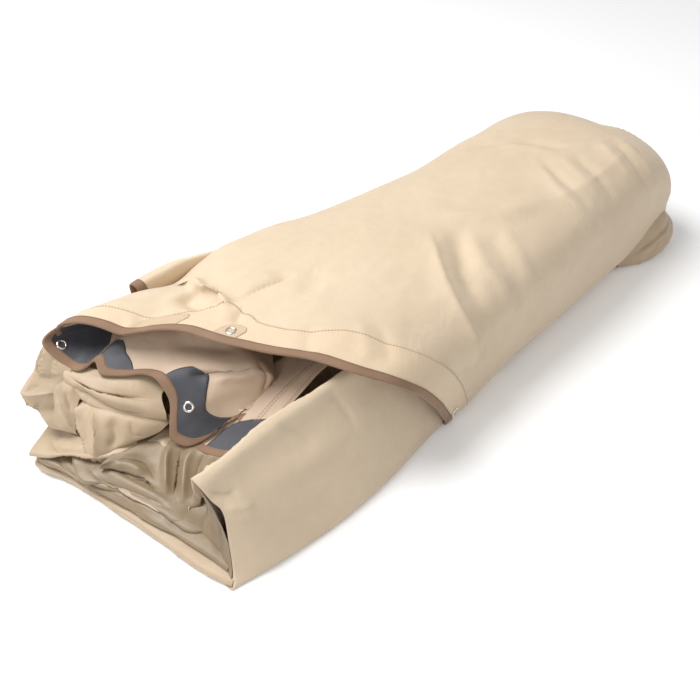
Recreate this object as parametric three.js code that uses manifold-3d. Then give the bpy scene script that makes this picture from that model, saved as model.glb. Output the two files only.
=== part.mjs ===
// A waterproof fly sheet, folded lengthways into a long soft bundle and laid on the floor.
// Millimetres. +X runs along the bundle from its open end to its closed end, +Y to the back, +Z up.
// The origin is on the floor, in the middle of the bundle's outline.
// Each fold of the cloth is one closed solid; the sewn trim and the eyelets are pieces of their own.

import * as THREE from "three";
import { mergeVertices } from "three/addons/utils/BufferGeometryUtils.js";
import Module from "manifold-3d";

const wasm = await Module();
wasm.setup();

// ---- driving dimensions ----
const LENGTH = 1016; // open end to closed end
const WIDTH = 408; // front bulge to back edge
const GAP = 0.3; // between pieces that touch
const CLOTH = 2.2; // a soft outer wall: one or two thicknesses of cloth with the air between them
const HEM = 1.2; // the turned-in hem, lying on the inside of the wrap
const PATCH = 1.4; // reinforcement patch
const TAPE = 0.9; // edge binding, each leaf
const BINDING_WIDTH = 12.5;
const HEM_WIDTH = 42;
const FOLD_THICK = 12.8; // one fold of the flat stack at the bottom
const FOLD_PITCH = FOLD_THICK + GAP;
const EYELET_RADIUS = 7.4;
const EYELET_HOLE = 3.7;
const BARREL_WALL = 0.7;
const FLANGE = 0.9;
const RING_POINTS = 28;

const END = LENGTH / 2;
const SIDE = WIDTH / 2;
const EDGE_ROOM = TAPE + GAP; // from a bound edge in to the cloth inside its binding

// ---- materials ----
const material = (color, roughness, metalness = 0) =>
  new THREE.MeshStandardMaterial({ color, roughness, metalness });
const cloth = material(0xd9c2a0, 0.7);
const lining = material(0xcbb3a0, 0.6);
const binding = material(0x8f735c, 0.8);
const grey = material(0x4a4c54, 0.55);
const nickel = material(0xd8d6d0, 0.25, 1);

// ---- geometry helpers ----
function solidOf(geometry) {
  const bare = geometry.clone();
  bare.deleteAttribute("normal");
  bare.deleteAttribute("uv");
  const merged = mergeVertices(bare, 1e-4);
  return new wasm.Manifold(
    new wasm.Mesh({
      numProp: 3,
      vertProperties: new Float32Array(merged.attributes.position.array),
      triVerts: new Uint32Array(merged.index.array),
    }),
  );
}

function geometryOf(solid) {
  const mesh = solid.getMesh();
  return new THREE.BufferGeometry()
    .setAttribute("position", new THREE.BufferAttribute(mesh.vertProperties, 3))
    .setIndex(new THREE.BufferAttribute(mesh.triVerts, 1))
    .toNonIndexed();
}

// A closed solid through rings that all have the same number of points.
function loft(rings) {
  const count = rings[0].length;
  const points = rings.flat();
  const index = [];
  const at = (r, k) => r * count + (k % count);
  for (let r = 0; r + 1 < rings.length; r++)
    for (let k = 0; k < count; k++)
      index.push(at(r, k), at(r, k + 1), at(r + 1, k), at(r, k + 1), at(r + 1, k + 1), at(r + 1, k));
  for (const [r, turn] of [[0, false], [rings.length - 1, true]]) {
    const middle = rings[r].reduce((sum, p) => sum.add(p), new THREE.Vector3()).divideScalar(count);
    points.push(middle);
    for (let k = 0; k < count; k++) {
      const pair = turn ? [at(r, k), at(r, k + 1)] : [at(r, k + 1), at(r, k)];
      index.push(points.length - 1, ...pair);
    }
  }
  const geometry = new THREE.BufferGeometry().setFromPoints(points).setIndex(index);
  const solid = solidOf(geometry);
  if (solid.volume() > 0) return solid;
  for (let i = 0; i < index.length; i += 3) [index[i], index[i + 1]] = [index[i + 1], index[i]];
  return solidOf(geometry.setIndex(index));
}

// A loaf-shaped section across the bundle, between four sides: soft above, boxier where it sits.
const SOFT = 2.6;
const BOXY = 5;
function loafRing(x, front, back, low, high) {
  const middleY = (front + back) / 2;
  const middleZ = (low + high) / 2;
  return Array.from({ length: RING_POINTS }, (_, k) => {
    const angle = (2 * Math.PI * k) / RING_POINTS;
    const power = 2 / (Math.sin(angle) < 0 ? BOXY : SOFT);
    const bent = (v) => Math.sign(v) * Math.abs(v) ** power;
    return new THREE.Vector3(
      x,
      middleY + ((back - front) / 2) * bent(Math.cos(angle)),
      middleZ + ((high - low) / 2) * bent(Math.sin(angle)),
    );
  });
}

// A soft roll through stations [x, front, back, low, high], smoothed along its length.
function roll(stations, steps, grow = 0) {
  const column = (i) => new THREE.SplineCurve(stations.map((s) => new THREE.Vector2(s[0], s[i])));
  const columns = [1, 2, 3, 4].map(column);
  const rings = Array.from({ length: steps + 1 }, (_, k) => {
    const [front, back, low, high] = columns.map((c) => c.getPoint(k / steps).y);
    const x = columns[0].getPoint(k / steps).x;
    return loafRing(x, front - grow, back + grow, low - grow, high + grow);
  });
  if (grow) {
    rings[0].forEach((p) => (p.x -= grow));
    rings.at(-1).forEach((p) => (p.x += grow));
  }
  return loft(rings);
}

// A flat fold: a smooth outline seen from above, between two heights.
function flatFold(outline, low, high) {
  const edge = new THREE.CatmullRomCurve3(
    outline.map(([x, y]) => new THREE.Vector3(x, y, 0)),
    true,
    "catmullrom",
    0.25,
  );
  const points = edge.getPoints(outline.length * 3).slice(0, -1);
  const shape = new THREE.Shape(points.map((p) => new THREE.Vector2(p.x, p.y)));
  const geometry = new THREE.ExtrudeGeometry(shape, { depth: high - low, bevelEnabled: false });
  return solidOf(geometry.translate(0, 0, low));
}

// A band between two offsets of a profile in the Y-Z plane, swept along X.
function ribbon(profile, inner, outer, from, to) {
  const curve = new THREE.SplineCurve(profile.map(([y, z]) => new THREE.Vector2(y, z)));
  const steps = profile.length * 4;
  const side = (offset) =>
    Array.from({ length: steps + 1 }, (_, k) => {
      const p = curve.getPoint(k / steps);
      const t = curve.getTangent(k / steps);
      return new THREE.Vector2(p.x - t.y * offset, p.y + t.x * offset);
    });
  const shape = new THREE.Shape([...side(inner), ...side(outer).reverse()]);
  const geometry = new THREE.ExtrudeGeometry(shape, { depth: to - from, bevelEnabled: false });
  // the shape's own x and y become the part's Y and Z, and the depth becomes X
  const turn = new THREE.Matrix4().makeBasis(
    new THREE.Vector3(0, 1, 0),
    new THREE.Vector3(0, 0, 1),
    new THREE.Vector3(1, 0, 0),
  );
  return solidOf(geometry.applyMatrix4(turn).translate(from, 0, 0));
}

// Everything on the far side of a line of points, seen along a direction across the bundle.
// The line is [x, s], and s is measured along the axis named by "across".
function beyond(line, shift, across, through) {
  const far = 3 * END;
  const outline = [...line.map(([x, s]) => [x + shift, s]), [far, line.at(-1)[1]], [far, line[0][1]]];
  const shape = new THREE.Shape(outline.map(([x, s]) => new THREE.Vector2(x, s)));
  const geometry = new THREE.ExtrudeGeometry(shape, { depth: 4 * END, bevelEnabled: false });
  geometry.translate(0, 0, -2 * END);
  const turn = new THREE.Matrix4().makeBasis(new THREE.Vector3(1, 0, 0), across, through);
  if (turn.determinant() < 0) throw new Error("across and through are the wrong way round");
  return solidOf(geometry.applyMatrix4(turn));
}

const box = (x0, x1, y0, y1, z0, z1) =>
  solidOf(
    new THREE.BoxGeometry(x1 - x0, y1 - y0, z1 - z0)
      .translate((x0 + x1) / 2, (y0 + y1) / 2, (z0 + z1) / 2),
  );

// Trimming one fold against another can leave crumbs: only the fold itself is kept.
const largest = (solid) =>
  solid.decompose().reduce((best, piece) => (piece.volume() > best.volume() ? piece : best));

const group = new THREE.Group();
function add(name, solid, finish) {
  const mesh = new THREE.Mesh(geometryOf(largest(solid)), finish);
  mesh.name = name;
  group.add(mesh);
}

// ---- the outer wrap: a loaf-shaped skin, open at the end where the hem is ----
const WRAP = [
  [-508, -110, 180, 2, 120],
  [-440, -160, 198, 2, 158],
  [-330, -180, 194, 2, 170],
  [-190, -186, 180, 2, 184],
  [0, -184, 160, 2, 196],
  [150, -188, 140, 2, 203],
  [290, -188, 124, 2, 206],
  [400, -187, 104, 3, 203],
  [450, -188, 84, 8, 196],
  [482, -184, 48, 16, 174],
  [500, -174, 4, 28, 146],
  [END, -158, -46, 50, 118],
];
const WRAP_STEPS = 20;
const skin = (grow) => roll(WRAP, WRAP_STEPS, grow);

// The hem runs over the top and down the front. It is a line in x against s = y + z.
const ACROSS = new THREE.Vector3(0, 1, 1).normalize();
const THROUGH = new THREE.Vector3(0, -1, 1).normalize();
const HEM_LINE = [
  [-412, 420],
  [-412, 352],
  [-352, 268],
  [-292, 205],
  [-262, 105],
  [-185, -38],
  [-86, -185],
  [-60, -320],
].map(([x, s]) => [x, s / Math.SQRT2]);
const HEM_SLOPE = 1.25; // along x, the hem line is this much further apart than square to it
const behindHem = (distance) => beyond(HEM_LINE, distance * HEM_SLOPE, ACROSS, THROUGH);

// Behind the open end the wrap's back edge climbs clear of the floor.
const BACK_EDGE = [
  [-520, 118],
  [-300, 112],
  [-120, 40],
  [0, FOLD_PITCH + 1],
  [520, FOLD_PITCH + 1],
];
const lowPart = solidOf(
  new THREE.ExtrudeGeometry(
    new THREE.Shape([...BACK_EDGE, [520, -60], [-520, -60]].map(([x, z]) => new THREE.Vector2(x, z))),
    { depth: 2 * SIDE, bevelEnabled: false },
  )
    .rotateX(Math.PI / 2)
    .translate(0, 2 * SIDE, 0),
);
const belowWrap = wasm.Manifold.union([lowPart, box(-600, 600, -300, 1, -60, FOLD_PITCH + 1)]);

// ---- the folds inside the wrap ----
const LINER = CLOTH + HEM + PATCH + TAPE + 4 * GAP;
const insideSkin = skin(-LINER);
const foldRoom = insideSkin.add(lowPart.translate(0, 0, -GAP));

// Outlines of the flat folds, the lowest first, seen from above.
const STACK = [
  [[-END, 150], [-478, 178], [-380, 190], [-150, 172], [150, 124], [400, 70], [456, 16], [458, -70], [400, -132],
    [250, -158], [0, -158], [-120, -164], [-200, -176], [-340, -178], [-455, -166], [-482, -80], [-496, 40]],
  [[-496, 98], [-472, 176], [-380, 184], [-150, 166], [150, 110], [380, 60], [430, 0], [410, -84], [250, -90],
    [-300, -90], [-440, -90], [-458, -40], [-476, 30]],
  [[-476, 120], [-455, 178], [-360, 182], [-150, 164], [150, 108], [370, 56], [420, 0], [400, -84], [250, -90],
    [-300, -90], [-428, -88], [-442, -20], [-454, 50]],
  [[-470, 108], [-450, 172], [-350, 178], [-150, 158], [150, 104], [350, 52], [400, 0], [390, -84], [250, -90],
    [-280, -90], [-400, -84], [-432, -10], [-446, 50]],
];

// Rolls through the stack's top: [x, front, back, low, high].
const FRONT_FOLD = [
  [-456, -164, -128, 16, 80],
  [-438, -172, -104, 14.2, 134],
  [-330, -178, -100, 13.6, 150],
  [-150, -180, -98, 13.6, 156],
  [100, -180, -98, 13.6, 158],
  [330, -178, -98, 14.2, 154],
  [440, -160, -98, 26, 130],
];
const REAR_FOLD = [
  [-482, 158, 192, 66, 92],
  [-464, 138, SIDE - 4, 54, 112],
  [-380, 134, SIDE - 1, 53, 106],
  [-200, 128, 184, 53, 124],
  [0, 110, 150, 53, 126],
  [200, 84, 122, 53, 126],
  [320, 66, 94, 60, 116],
];
const CRUMPLED_FOLD = [
  [-476, 34, 84, 56, 78],
  [-462, 8, 126, 53, 96],
  [-425, -6, 130, 53, 98],
  [-385, -24, 130, 53, 56],
];
const INNER_ROLL = [
  [-372, 40, 128, 58, 92],
  [-350, 34, 124, 53, 102],
  [-200, 30, 122, 53, 102],
  [0, 20, 104, 53, 108],
  [200, 0, 78, 53, 108],
  [330, -20, 30, 60, 100],
];
const CENTRE_ROLL = [
  [-180, -92, 10, 58, 120],
  [-150, -94, 16, 53, 150],
  [0, -94, 14, 53, 160],
  [200, -94, -6, 53, 162],
  [350, -90, -30, 60, 150],
];
const FAR_TUCK = [
  [380, -176, -150, 3, 20],
  [410, -196, -140, 1.4, 50],
  [455, -SIDE, -130, 1.2, 66],
  [484, -202, -120, 1.4, 66],
  [504, -182, -112, 8, 54],
];

// ---- the inner turn of the sheet, which carries its hem back into the bundle: [y, z] ----
const INNER_TURN = [
  [188, 132],
  [176, 126],
  [148, 113],
  [124, 119],
  [104, 114],
  [74, 123],
  [55, 119],
  [40, 104],
  [30, 84],
  [20, 66],
  [0, 58],
  [-18, 59],
  [-28, 68],
  [-30, 84],
];
const INNER_EDGE = [
  [-430, 240],
  [-425, 190],
  [-386, 104],
  [-364, 60],
  [-378, 10],
  [-334, -30],
  [-322, -120],
];
const Y_AXIS = new THREE.Vector3(0, 1, 0);
const Z_AXIS = new THREE.Vector3(0, 0, 1);
const TURN_TILT = 1.12;
const behindInnerEdge = (distance) => beyond(INNER_EDGE, distance * TURN_TILT, Y_AXIS, Z_AXIS);
const turnRibbon = (upper, lower) => ribbon(INNER_TURN, -upper, lower, -470, -170);
const turnBand = (upper, lower) => turnRibbon(upper, lower).intersect(insideSkin);

// ---- the deep layer between the inner turn and the front fold, with its taped seam ----
const DEEP_TURN = [
  [-40, 56.4],
  [-56, 61],
  [-70, 78],
  [-79, 100],
  [-83, 124],
];
const DEEP_EDGE = [
  [-372, 20],
  [-368, -20],
  [-352, -62],
  [-330, -120],
];
const behindDeepEdge = (distance) => beyond(DEEP_EDGE, distance * TURN_TILT, Y_AXIS, Z_AXIS);
const deepBand = (upper, lower, to = -190) => ribbon(DEEP_TURN, -upper, lower, -400, to);

// ---- eyelets ----
// A two-part eyelet along +Z: the flanged eyelet from above, the washer from below.
function latheAboutZ(profile) {
  const points = [...profile, profile[0]].map(([r, z]) => new THREE.Vector2(r, z));
  const geometry = new THREE.LatheGeometry(points, 24).rotateX(Math.PI / 2);
  const solid = solidOf(geometry);
  if (solid.volume() > 0) return solid;
  const index = geometry.index.array;
  for (let i = 0; i < index.length; i += 3) [index[i], index[i + 1]] = [index[i + 1], index[i]];
  return solidOf(geometry);
}

function eyeletParts(grip) {
  const half = grip / 2 + GAP;
  const barrel = EYELET_HOLE + BARREL_WALL;
  const eyelet = latheAboutZ([
    [EYELET_HOLE, -half - FLANGE],
    [barrel, -half - FLANGE],
    [barrel, half],
    [EYELET_RADIUS, half],
    [EYELET_RADIUS, half + FLANGE * 0.5],
    [EYELET_RADIUS - 0.8, half + FLANGE],
    [EYELET_HOLE + 0.5, half + FLANGE],
    [EYELET_HOLE, half + FLANGE * 0.4],
  ]);
  const washer = latheAboutZ([
    [barrel + GAP, -half],
    [barrel + GAP, -half - FLANGE],
    [EYELET_RADIUS, -half - FLANGE],
    [EYELET_RADIUS, -half],
  ]);
  return { eyelet, washer };
}

// A solid built round the origin along +Z, moved to a seat.
const placed = (solid, seat) => {
  const turn = new THREE.Quaternion().setFromUnitVectors(Z_AXIS, seat.normal);
  const move = new THREE.Matrix4().compose(seat.place, turn, new THREE.Vector3(1, 1, 1));
  return solidOf(geometryOf(solid).applyMatrix4(move));
};
const disc = (radius, from, to, sides = 24) =>
  solidOf(
    new THREE.CylinderGeometry(radius, radius, to - from, sides)
      .rotateX(Math.PI / 2)
      .translate(0, 0, (from + to) / 2),
  );

// A seat on the wrap, found by walking in from outside; it lies halfway through what is clamped.
function seatOnWrap(from, direction, grip) {
  const mesh = new THREE.Mesh(geometryOf(skin(0)), new THREE.MeshBasicMaterial({ side: THREE.DoubleSide }));
  const hit = new THREE.Raycaster(from, direction.clone().normalize()).intersectObject(mesh)[0];
  const normal = hit.face.normal.clone();
  if (normal.dot(direction) > 0) normal.negate();
  return { on: "wrap", grip, place: hit.point.clone().addScaledVector(normal, -grip / 2), normal };
}

// A seat on the inner turn, at a share of its length.
function seatOnTurn(share, x, grip) {
  const curve = new THREE.SplineCurve(INNER_TURN.map(([y, z]) => new THREE.Vector2(y, z)));
  const p = curve.getPoint(share);
  const t = curve.getTangent(share);
  const normal = new THREE.Vector3(0, t.y, -t.x);
  const place = new THREE.Vector3(x, p.x, p.y).addScaledVector(normal, grip / 2 - CLOTH);
  return { on: "turn", grip, place, normal };
}

const WRAP_GRIP = CLOTH + HEM + PATCH + 2 * GAP;
const TURN_GRIP = CLOTH + PATCH + GAP;
const down = new THREE.Vector3(0, 0, -1);
const inward = new THREE.Vector3(0, 1, -0.15);
const seats = [
  seatOnWrap(new THREE.Vector3(-278, 8, 400), down, WRAP_GRIP),
  seatOnWrap(new THREE.Vector3(-82, -400, 62), inward, WRAP_GRIP),
  seatOnTurn(0.6, -350, TURN_GRIP),
  seatOnTurn(0.055, -404, TURN_GRIP),
];

// The room that each eyelet needs through the cloth, and round its flanges.
const seatRooms = seats.map((seat) => {
  const half = seat.grip / 2;
  const shape = disc(EYELET_HOLE + BARREL_WALL + GAP, -15, 15)
    .add(disc(EYELET_RADIUS + 1, half, half + 8))
    .add(disc(EYELET_RADIUS + 1, -half - 8, -half));
  return { on: seat.on, room: placed(shape, seat) };
});
const bored = (solid, on) =>
  seatRooms.filter((s) => s.on === on).reduce((rest, s) => rest.subtract(s.room), solid);

// ---- the back flap, the sheet's other edge, lying up the back of the wrap ----
const FLAP = [
  [-286, 100],
  [-290, 147],
  [-216, 154],
  [-160, 152],
  [-124, 112],
];
const flapRoom = (inset) => {
  const top = FLAP.map(([x, z]) => [x + (x < -280 ? inset : 0), z - inset]);
  const outline = [...top, [-116, 62], [-286 + inset, 62]];
  const shape = new THREE.Shape(outline.map(([x, z]) => new THREE.Vector2(x, z)));
  const geometry = new THREE.ExtrudeGeometry(shape, { depth: 300, bevelEnabled: false });
  return solidOf(geometry.rotateX(Math.PI / 2).translate(0, 360, 0));
};
const FLAP_IN = TAPE + 2 * GAP;
const FLAP_OUT = FLAP_IN + CLOTH;
const flapShell = (outer, inner) => skin(outer).subtract(skin(inner));
add("back_flap", flapShell(FLAP_OUT, FLAP_IN).intersect(flapRoom(EDGE_ROOM)), cloth);
const flapBlock = flapShell(FLAP_OUT + EDGE_ROOM, GAP)
  .intersect(flapRoom(0))
  .subtract(flapRoom(BINDING_WIDTH));
const flapSlot = flapShell(FLAP_OUT + GAP, FLAP_IN - GAP).intersect(flapRoom(TAPE));
const flapCut = box(-600, 700, -300, 400, -20, 84 + GAP);
add("back_flap_binding", flapBlock.subtract(flapSlot).subtract(flapCut), binding);

// ---- the bundle's own folds ----
const turnKeepOut = turnRibbon(2 * TAPE + 3 + GAP, CLOTH + TAPE + 3 * GAP + 1);
const deepKeepOut = deepBand(PATCH + 3, CLOTH + TAPE + 3 * GAP);
const farTuck = roll(FAR_TUCK, 9);
const farTuckRoom = roll(FAR_TUCK, 9, 2 * GAP);
STACK.forEach((outline, i) => {
  const low = i * FOLD_PITCH;
  const fold = flatFold(outline, low, low + FOLD_THICK);
  const kept = i === 0 ? fold : fold.intersect(foldRoom);
  add(`folded_layer_${i + 1}`, kept.subtract(farTuckRoom), cloth);
});
const frontFold = roll(FRONT_FOLD, 12).intersect(insideSkin).subtract(farTuckRoom);
const frontKeepOut = roll(FRONT_FOLD, 12, GAP);
add("front_fold", frontFold, cloth);
const flapKeepOut = flapShell(FLAP_OUT + 2 * TAPE, 0).intersect(flapRoom(-2));
const rearFold = roll(REAR_FOLD, 11).intersect(foldRoom).subtract(turnKeepOut).subtract(flapKeepOut);
const rearKeepOut = roll(REAR_FOLD, 11, GAP);
add("rear_fold", rearFold, cloth);
add("crumpled_fold", roll(CRUMPLED_FOLD, 10).subtract(turnKeepOut).subtract(rearKeepOut), lining);
const clear = (solid) =>
  solid.subtract(turnKeepOut).subtract(deepKeepOut).subtract(rearKeepOut).subtract(frontKeepOut);
add("inner_roll", clear(roll(INNER_ROLL, 10)), lining);
const centre = clear(roll(CENTRE_ROLL, 9).subtract(roll(INNER_ROLL, 10, GAP)));
add("centre_roll", centre.intersect(insideSkin), lining);
add("far_end_tuck", farTuck, cloth);

// ---- the wrap, its hem and the binding on its edge ----
const wrapShell = (outer, inner) =>
  skin(outer).subtract(skin(inner)).subtract(belowWrap).subtract(farTuckRoom);
add("outer_wrap", bored(wrapShell(0, -CLOTH).intersect(behindHem(EDGE_ROOM)), "wrap"), cloth);

const hemOut = -(CLOTH + GAP);
const hemIn = hemOut - HEM;
const hemBand = wrapShell(hemOut, hemIn).intersect(behindHem(EDGE_ROOM)).subtract(behindHem(HEM_WIDTH));
add("outer_hem", bored(hemBand, "wrap"), cloth);

const edgeBlock = wrapShell(EDGE_ROOM, hemIn - EDGE_ROOM)
  .intersect(behindHem(0))
  .subtract(behindHem(BINDING_WIDTH));
const edgeSlot = skin(GAP).subtract(skin(hemIn - GAP)).intersect(behindHem(TAPE));
add("outer_hem_binding", bored(edgeBlock.subtract(edgeSlot), "wrap"), binding);

const patchBand = wrapShell(hemIn - GAP, hemIn - GAP - PATCH)
  .intersect(behindHem(BINDING_WIDTH + GAP))
  .subtract(behindHem(HEM_WIDTH - 2));
const onWrap = seats.filter((seat) => seat.on === "wrap");
onWrap.forEach((seat, i) => {
  const reach = placed(disc(34, -30, 30, 32), seat);
  add(`hem_patch_${i + 1}`, bored(patchBand.intersect(reach), "wrap"), grey);
});

// ---- the inner turn with its binding and the patches behind its eyelets ----
add("inner_turn", bored(turnBand(0, CLOTH).intersect(behindInnerEdge(EDGE_ROOM)), "turn"), lining);
const turnBlock = turnBand(EDGE_ROOM, CLOTH + EDGE_ROOM)
  .intersect(behindInnerEdge(0))
  .subtract(behindInnerEdge(BINDING_WIDTH));
const turnSlot = turnRibbon(GAP, CLOTH + GAP).intersect(behindInnerEdge(TAPE));
add("inner_turn_binding", bored(turnBlock.subtract(turnSlot), "turn"), binding);
const turnPatchBand = turnBand(GAP + PATCH, -GAP)
  .intersect(behindInnerEdge(BINDING_WIDTH + GAP))
  .subtract(behindInnerEdge(BINDING_WIDTH + HEM_WIDTH));
const onTurn = seats.filter((seat) => seat.on === "turn");
onTurn.forEach((seat, i) => {
  const reach = placed(disc(27, -30, 30, 32), seat);
  add(`inner_patch_${i + 1}`, bored(turnPatchBand.intersect(reach), "turn"), grey);
});

// ---- the deep layer, its binding, its patch and its seam tape ----
add("deep_layer", deepBand(0, CLOTH).intersect(behindDeepEdge(EDGE_ROOM)), lining);
const deepBlock = deepBand(EDGE_ROOM, CLOTH + EDGE_ROOM)
  .intersect(behindDeepEdge(0))
  .subtract(behindDeepEdge(BINDING_WIDTH));
const deepSlot = ribbon(DEEP_TURN, -GAP, CLOTH + GAP, -420, -150).intersect(behindDeepEdge(TAPE));
add("deep_layer_binding", deepBlock.subtract(deepSlot), binding);
const deepPatch = deepBand(GAP + PATCH, -GAP, -290).intersect(behindDeepEdge(BINDING_WIDTH + GAP));
add("deep_patch", deepPatch, grey);
add("seam_tape", deepBand(GAP + TAPE, -GAP, -252).subtract(deepBand(8, 8, -274)), lining);

// ---- the eyelets ----
seats.forEach((seat, i) => {
  const { eyelet, washer } = eyeletParts(seat.grip);
  add(`eyelet_${i + 1}`, placed(eyelet, seat), nickel);
  add(`eyelet_washer_${i + 1}`, placed(washer, seat), nickel);
});

export default group;
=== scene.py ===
# %% [markdown]
# # A folded fly sheet
# The real object is one big waterproof sheet of coated cloth, the roof cover of a tent. It has been
# folded lengthways, rolled into a long soft bundle and laid on the floor. Its bound edge, dark
# patches and metal eyelets show at the open end.
# Every visible turn of the cloth is made here as a thin sheet of its own, around a plain frame of
# solids that already has the right size and place.

import math

import bpy
import numpy as np
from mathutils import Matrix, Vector, noise


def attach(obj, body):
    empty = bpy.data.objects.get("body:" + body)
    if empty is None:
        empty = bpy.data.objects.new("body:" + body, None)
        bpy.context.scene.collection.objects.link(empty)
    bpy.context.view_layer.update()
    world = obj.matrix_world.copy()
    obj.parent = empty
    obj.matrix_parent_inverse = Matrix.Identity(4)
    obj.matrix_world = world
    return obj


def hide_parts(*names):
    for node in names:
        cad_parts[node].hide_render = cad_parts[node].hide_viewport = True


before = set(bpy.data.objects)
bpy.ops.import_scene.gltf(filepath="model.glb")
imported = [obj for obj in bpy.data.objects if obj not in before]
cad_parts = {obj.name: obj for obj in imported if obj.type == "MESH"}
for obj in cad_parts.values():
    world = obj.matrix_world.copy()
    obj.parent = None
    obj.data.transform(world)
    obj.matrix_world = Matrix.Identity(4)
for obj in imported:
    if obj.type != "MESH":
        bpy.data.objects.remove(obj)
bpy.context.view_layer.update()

# %% [markdown]
# ## Measures
# Cloth is easiest to think of in millimetres, so every point below is in millimetres and one factor
# turns it into Blender's metres. The cloth is drawn a little thicker than it is, so that its
# edges catch the light.

# %% Measures of the cloth and its trim
MM = 0.001
CLOTH = 1.0  # thickness of a single cloth
TAPE_WIDTH = 12.5  # binding, as seen on each side
EYELET_RADIUS = 7.4
EYELET_HOLE = 3.7

# %% [markdown]
# ## The camera
# A bundle a metre long looks natural from about a metre and a third away, seen from its open end
# and from above. The camera is set from those three facts: direction, height and distance.

# %% Camera
CAMERA_TURN = math.radians(-48)
CAMERA_RISE = math.radians(42)
CAMERA_DISTANCE = 1.3
aim = Vector((-0.0675, 0.005, 0.0))
back = Vector(
    (
        math.sin(CAMERA_TURN) * math.cos(CAMERA_RISE),
        -math.cos(CAMERA_TURN) * math.cos(CAMERA_RISE),
        math.sin(CAMERA_RISE),
    )
)
camera_data = bpy.data.cameras.new("camera")
camera_data.lens = 46.286
camera_data.sensor_width = 36.0
camera = bpy.data.objects.new("camera", camera_data)
camera.location = aim + CAMERA_DISTANCE * back
camera.rotation_euler = back.to_track_quat("Z", "Y").to_euler()
bpy.context.scene.collection.objects.link(camera)
bpy.context.scene.camera = camera
print("camera at", [round(v, 3) for v in camera.location])

# %% [markdown]
# ## Finishes
# The sheet is a close plain weave of polyester and cotton, tan outside, with a waterproof coating on
# its inner side that gives it a pinker, smoother look. Both sides share one node recipe:
# two fine waves crossed at right angles make the threads, a slow noise varies the colour, and a
# little sheen gives the soft glow of cloth seen at a low angle. The texture map is in metres, so one
# thread is the same size on every piece.

# %% A helper for node materials
def colour(red, green, blue):
    """A screen colour from 0 to 255, as the linear colour that Blender's shaders want."""
    linear = [
        c / 255 / 12.92 if c / 255 <= 0.04045 else ((c / 255 + 0.055) / 1.055) ** 2.4
        for c in (red, green, blue)
    ]
    return (*linear, 1.0)


class Finish:
    """A material with short calls for the nodes that cloth, tape and metal need."""

    def __init__(self, name):
        self.material = bpy.data.materials.new(name)
        self.material.use_nodes = True
        self.tree = self.material.node_tree
        self.shader = self.tree.nodes["Principled BSDF"]

    def node(self, kind, **settings):
        made = self.tree.nodes.new(kind)
        for key, value in settings.items():
            setattr(made, key, value)
        return made

    def feed(self, node, socket, value):
        """Puts a number, a colour or another node's output into a socket."""
        if isinstance(value, bpy.types.NodeSocket):
            self.tree.links.new(value, node.inputs[socket])
        else:
            node.inputs[socket].default_value = value
        return node

    def maths(self, operation, first, second=0.0):
        made = self.node("ShaderNodeMath", operation=operation)
        self.feed(made, 0, first)
        self.feed(made, 1, second)
        return made.outputs[0]

    def place(self, source="UV"):
        return self.node("ShaderNodeTexCoord").outputs[source]

    def waves(self, place, per_metre, axis):
        """Threads: a sine wave across the cloth, so many to the metre."""
        part = self.node("ShaderNodeSeparateXYZ")
        self.feed(part, 0, place)
        turned = self.maths("MULTIPLY", part.outputs[axis], per_metre * 2 * math.pi)
        return self.maths("SINE", turned)

    def clouds(self, place, scale, detail=3.0, rough=0.5, warp=0.0):
        made = self.node("ShaderNodeTexNoise")
        self.feed(made, "Vector", place)
        for socket, value in (("Scale", scale), ("Detail", detail), ("Roughness", rough), ("Distortion", warp)):
            self.feed(made, socket, value)
        return made.outputs[0]

    def between(self, share, low, high):
        """Stretches a 0 to 1 value so that it runs from low to high."""
        made = self.node("ShaderNodeMapRange")
        self.feed(made, "Value", share)
        self.feed(made, "To Min", low)
        self.feed(made, "To Max", high)
        return made.outputs[0]

    def blend(self, share, first, second, how="MIX"):
        made = self.node("ShaderNodeMix", data_type="RGBA", blend_type=how)
        self.feed(made, 0, share)
        self.feed(made, 6, first)
        self.feed(made, 7, second)
        return made.outputs[2]

    def bump(self, height, distance, strength=1.0):
        made = self.node("ShaderNodeBump")
        self.feed(made, "Height", height)
        self.feed(made, "Distance", distance)
        self.feed(made, "Strength", strength)
        return made.outputs[0]

    def finish(self, **sockets):
        for socket, value in sockets.items():
            self.feed(self.shader, socket.replace("_", " "), value)
        return self.material


print("tan:", [round(c, 3) for c in colour(222, 203, 177)])

# %% [markdown]
# ## The cloth, outside and inside
# Small wrinkles are part of the finish: a second, stretched noise in the bump gives the faint
# crumpled look that waterproof cloth keeps after it has been packed. Colour is darker where the
# slow noise is low, as if handled there.

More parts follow.
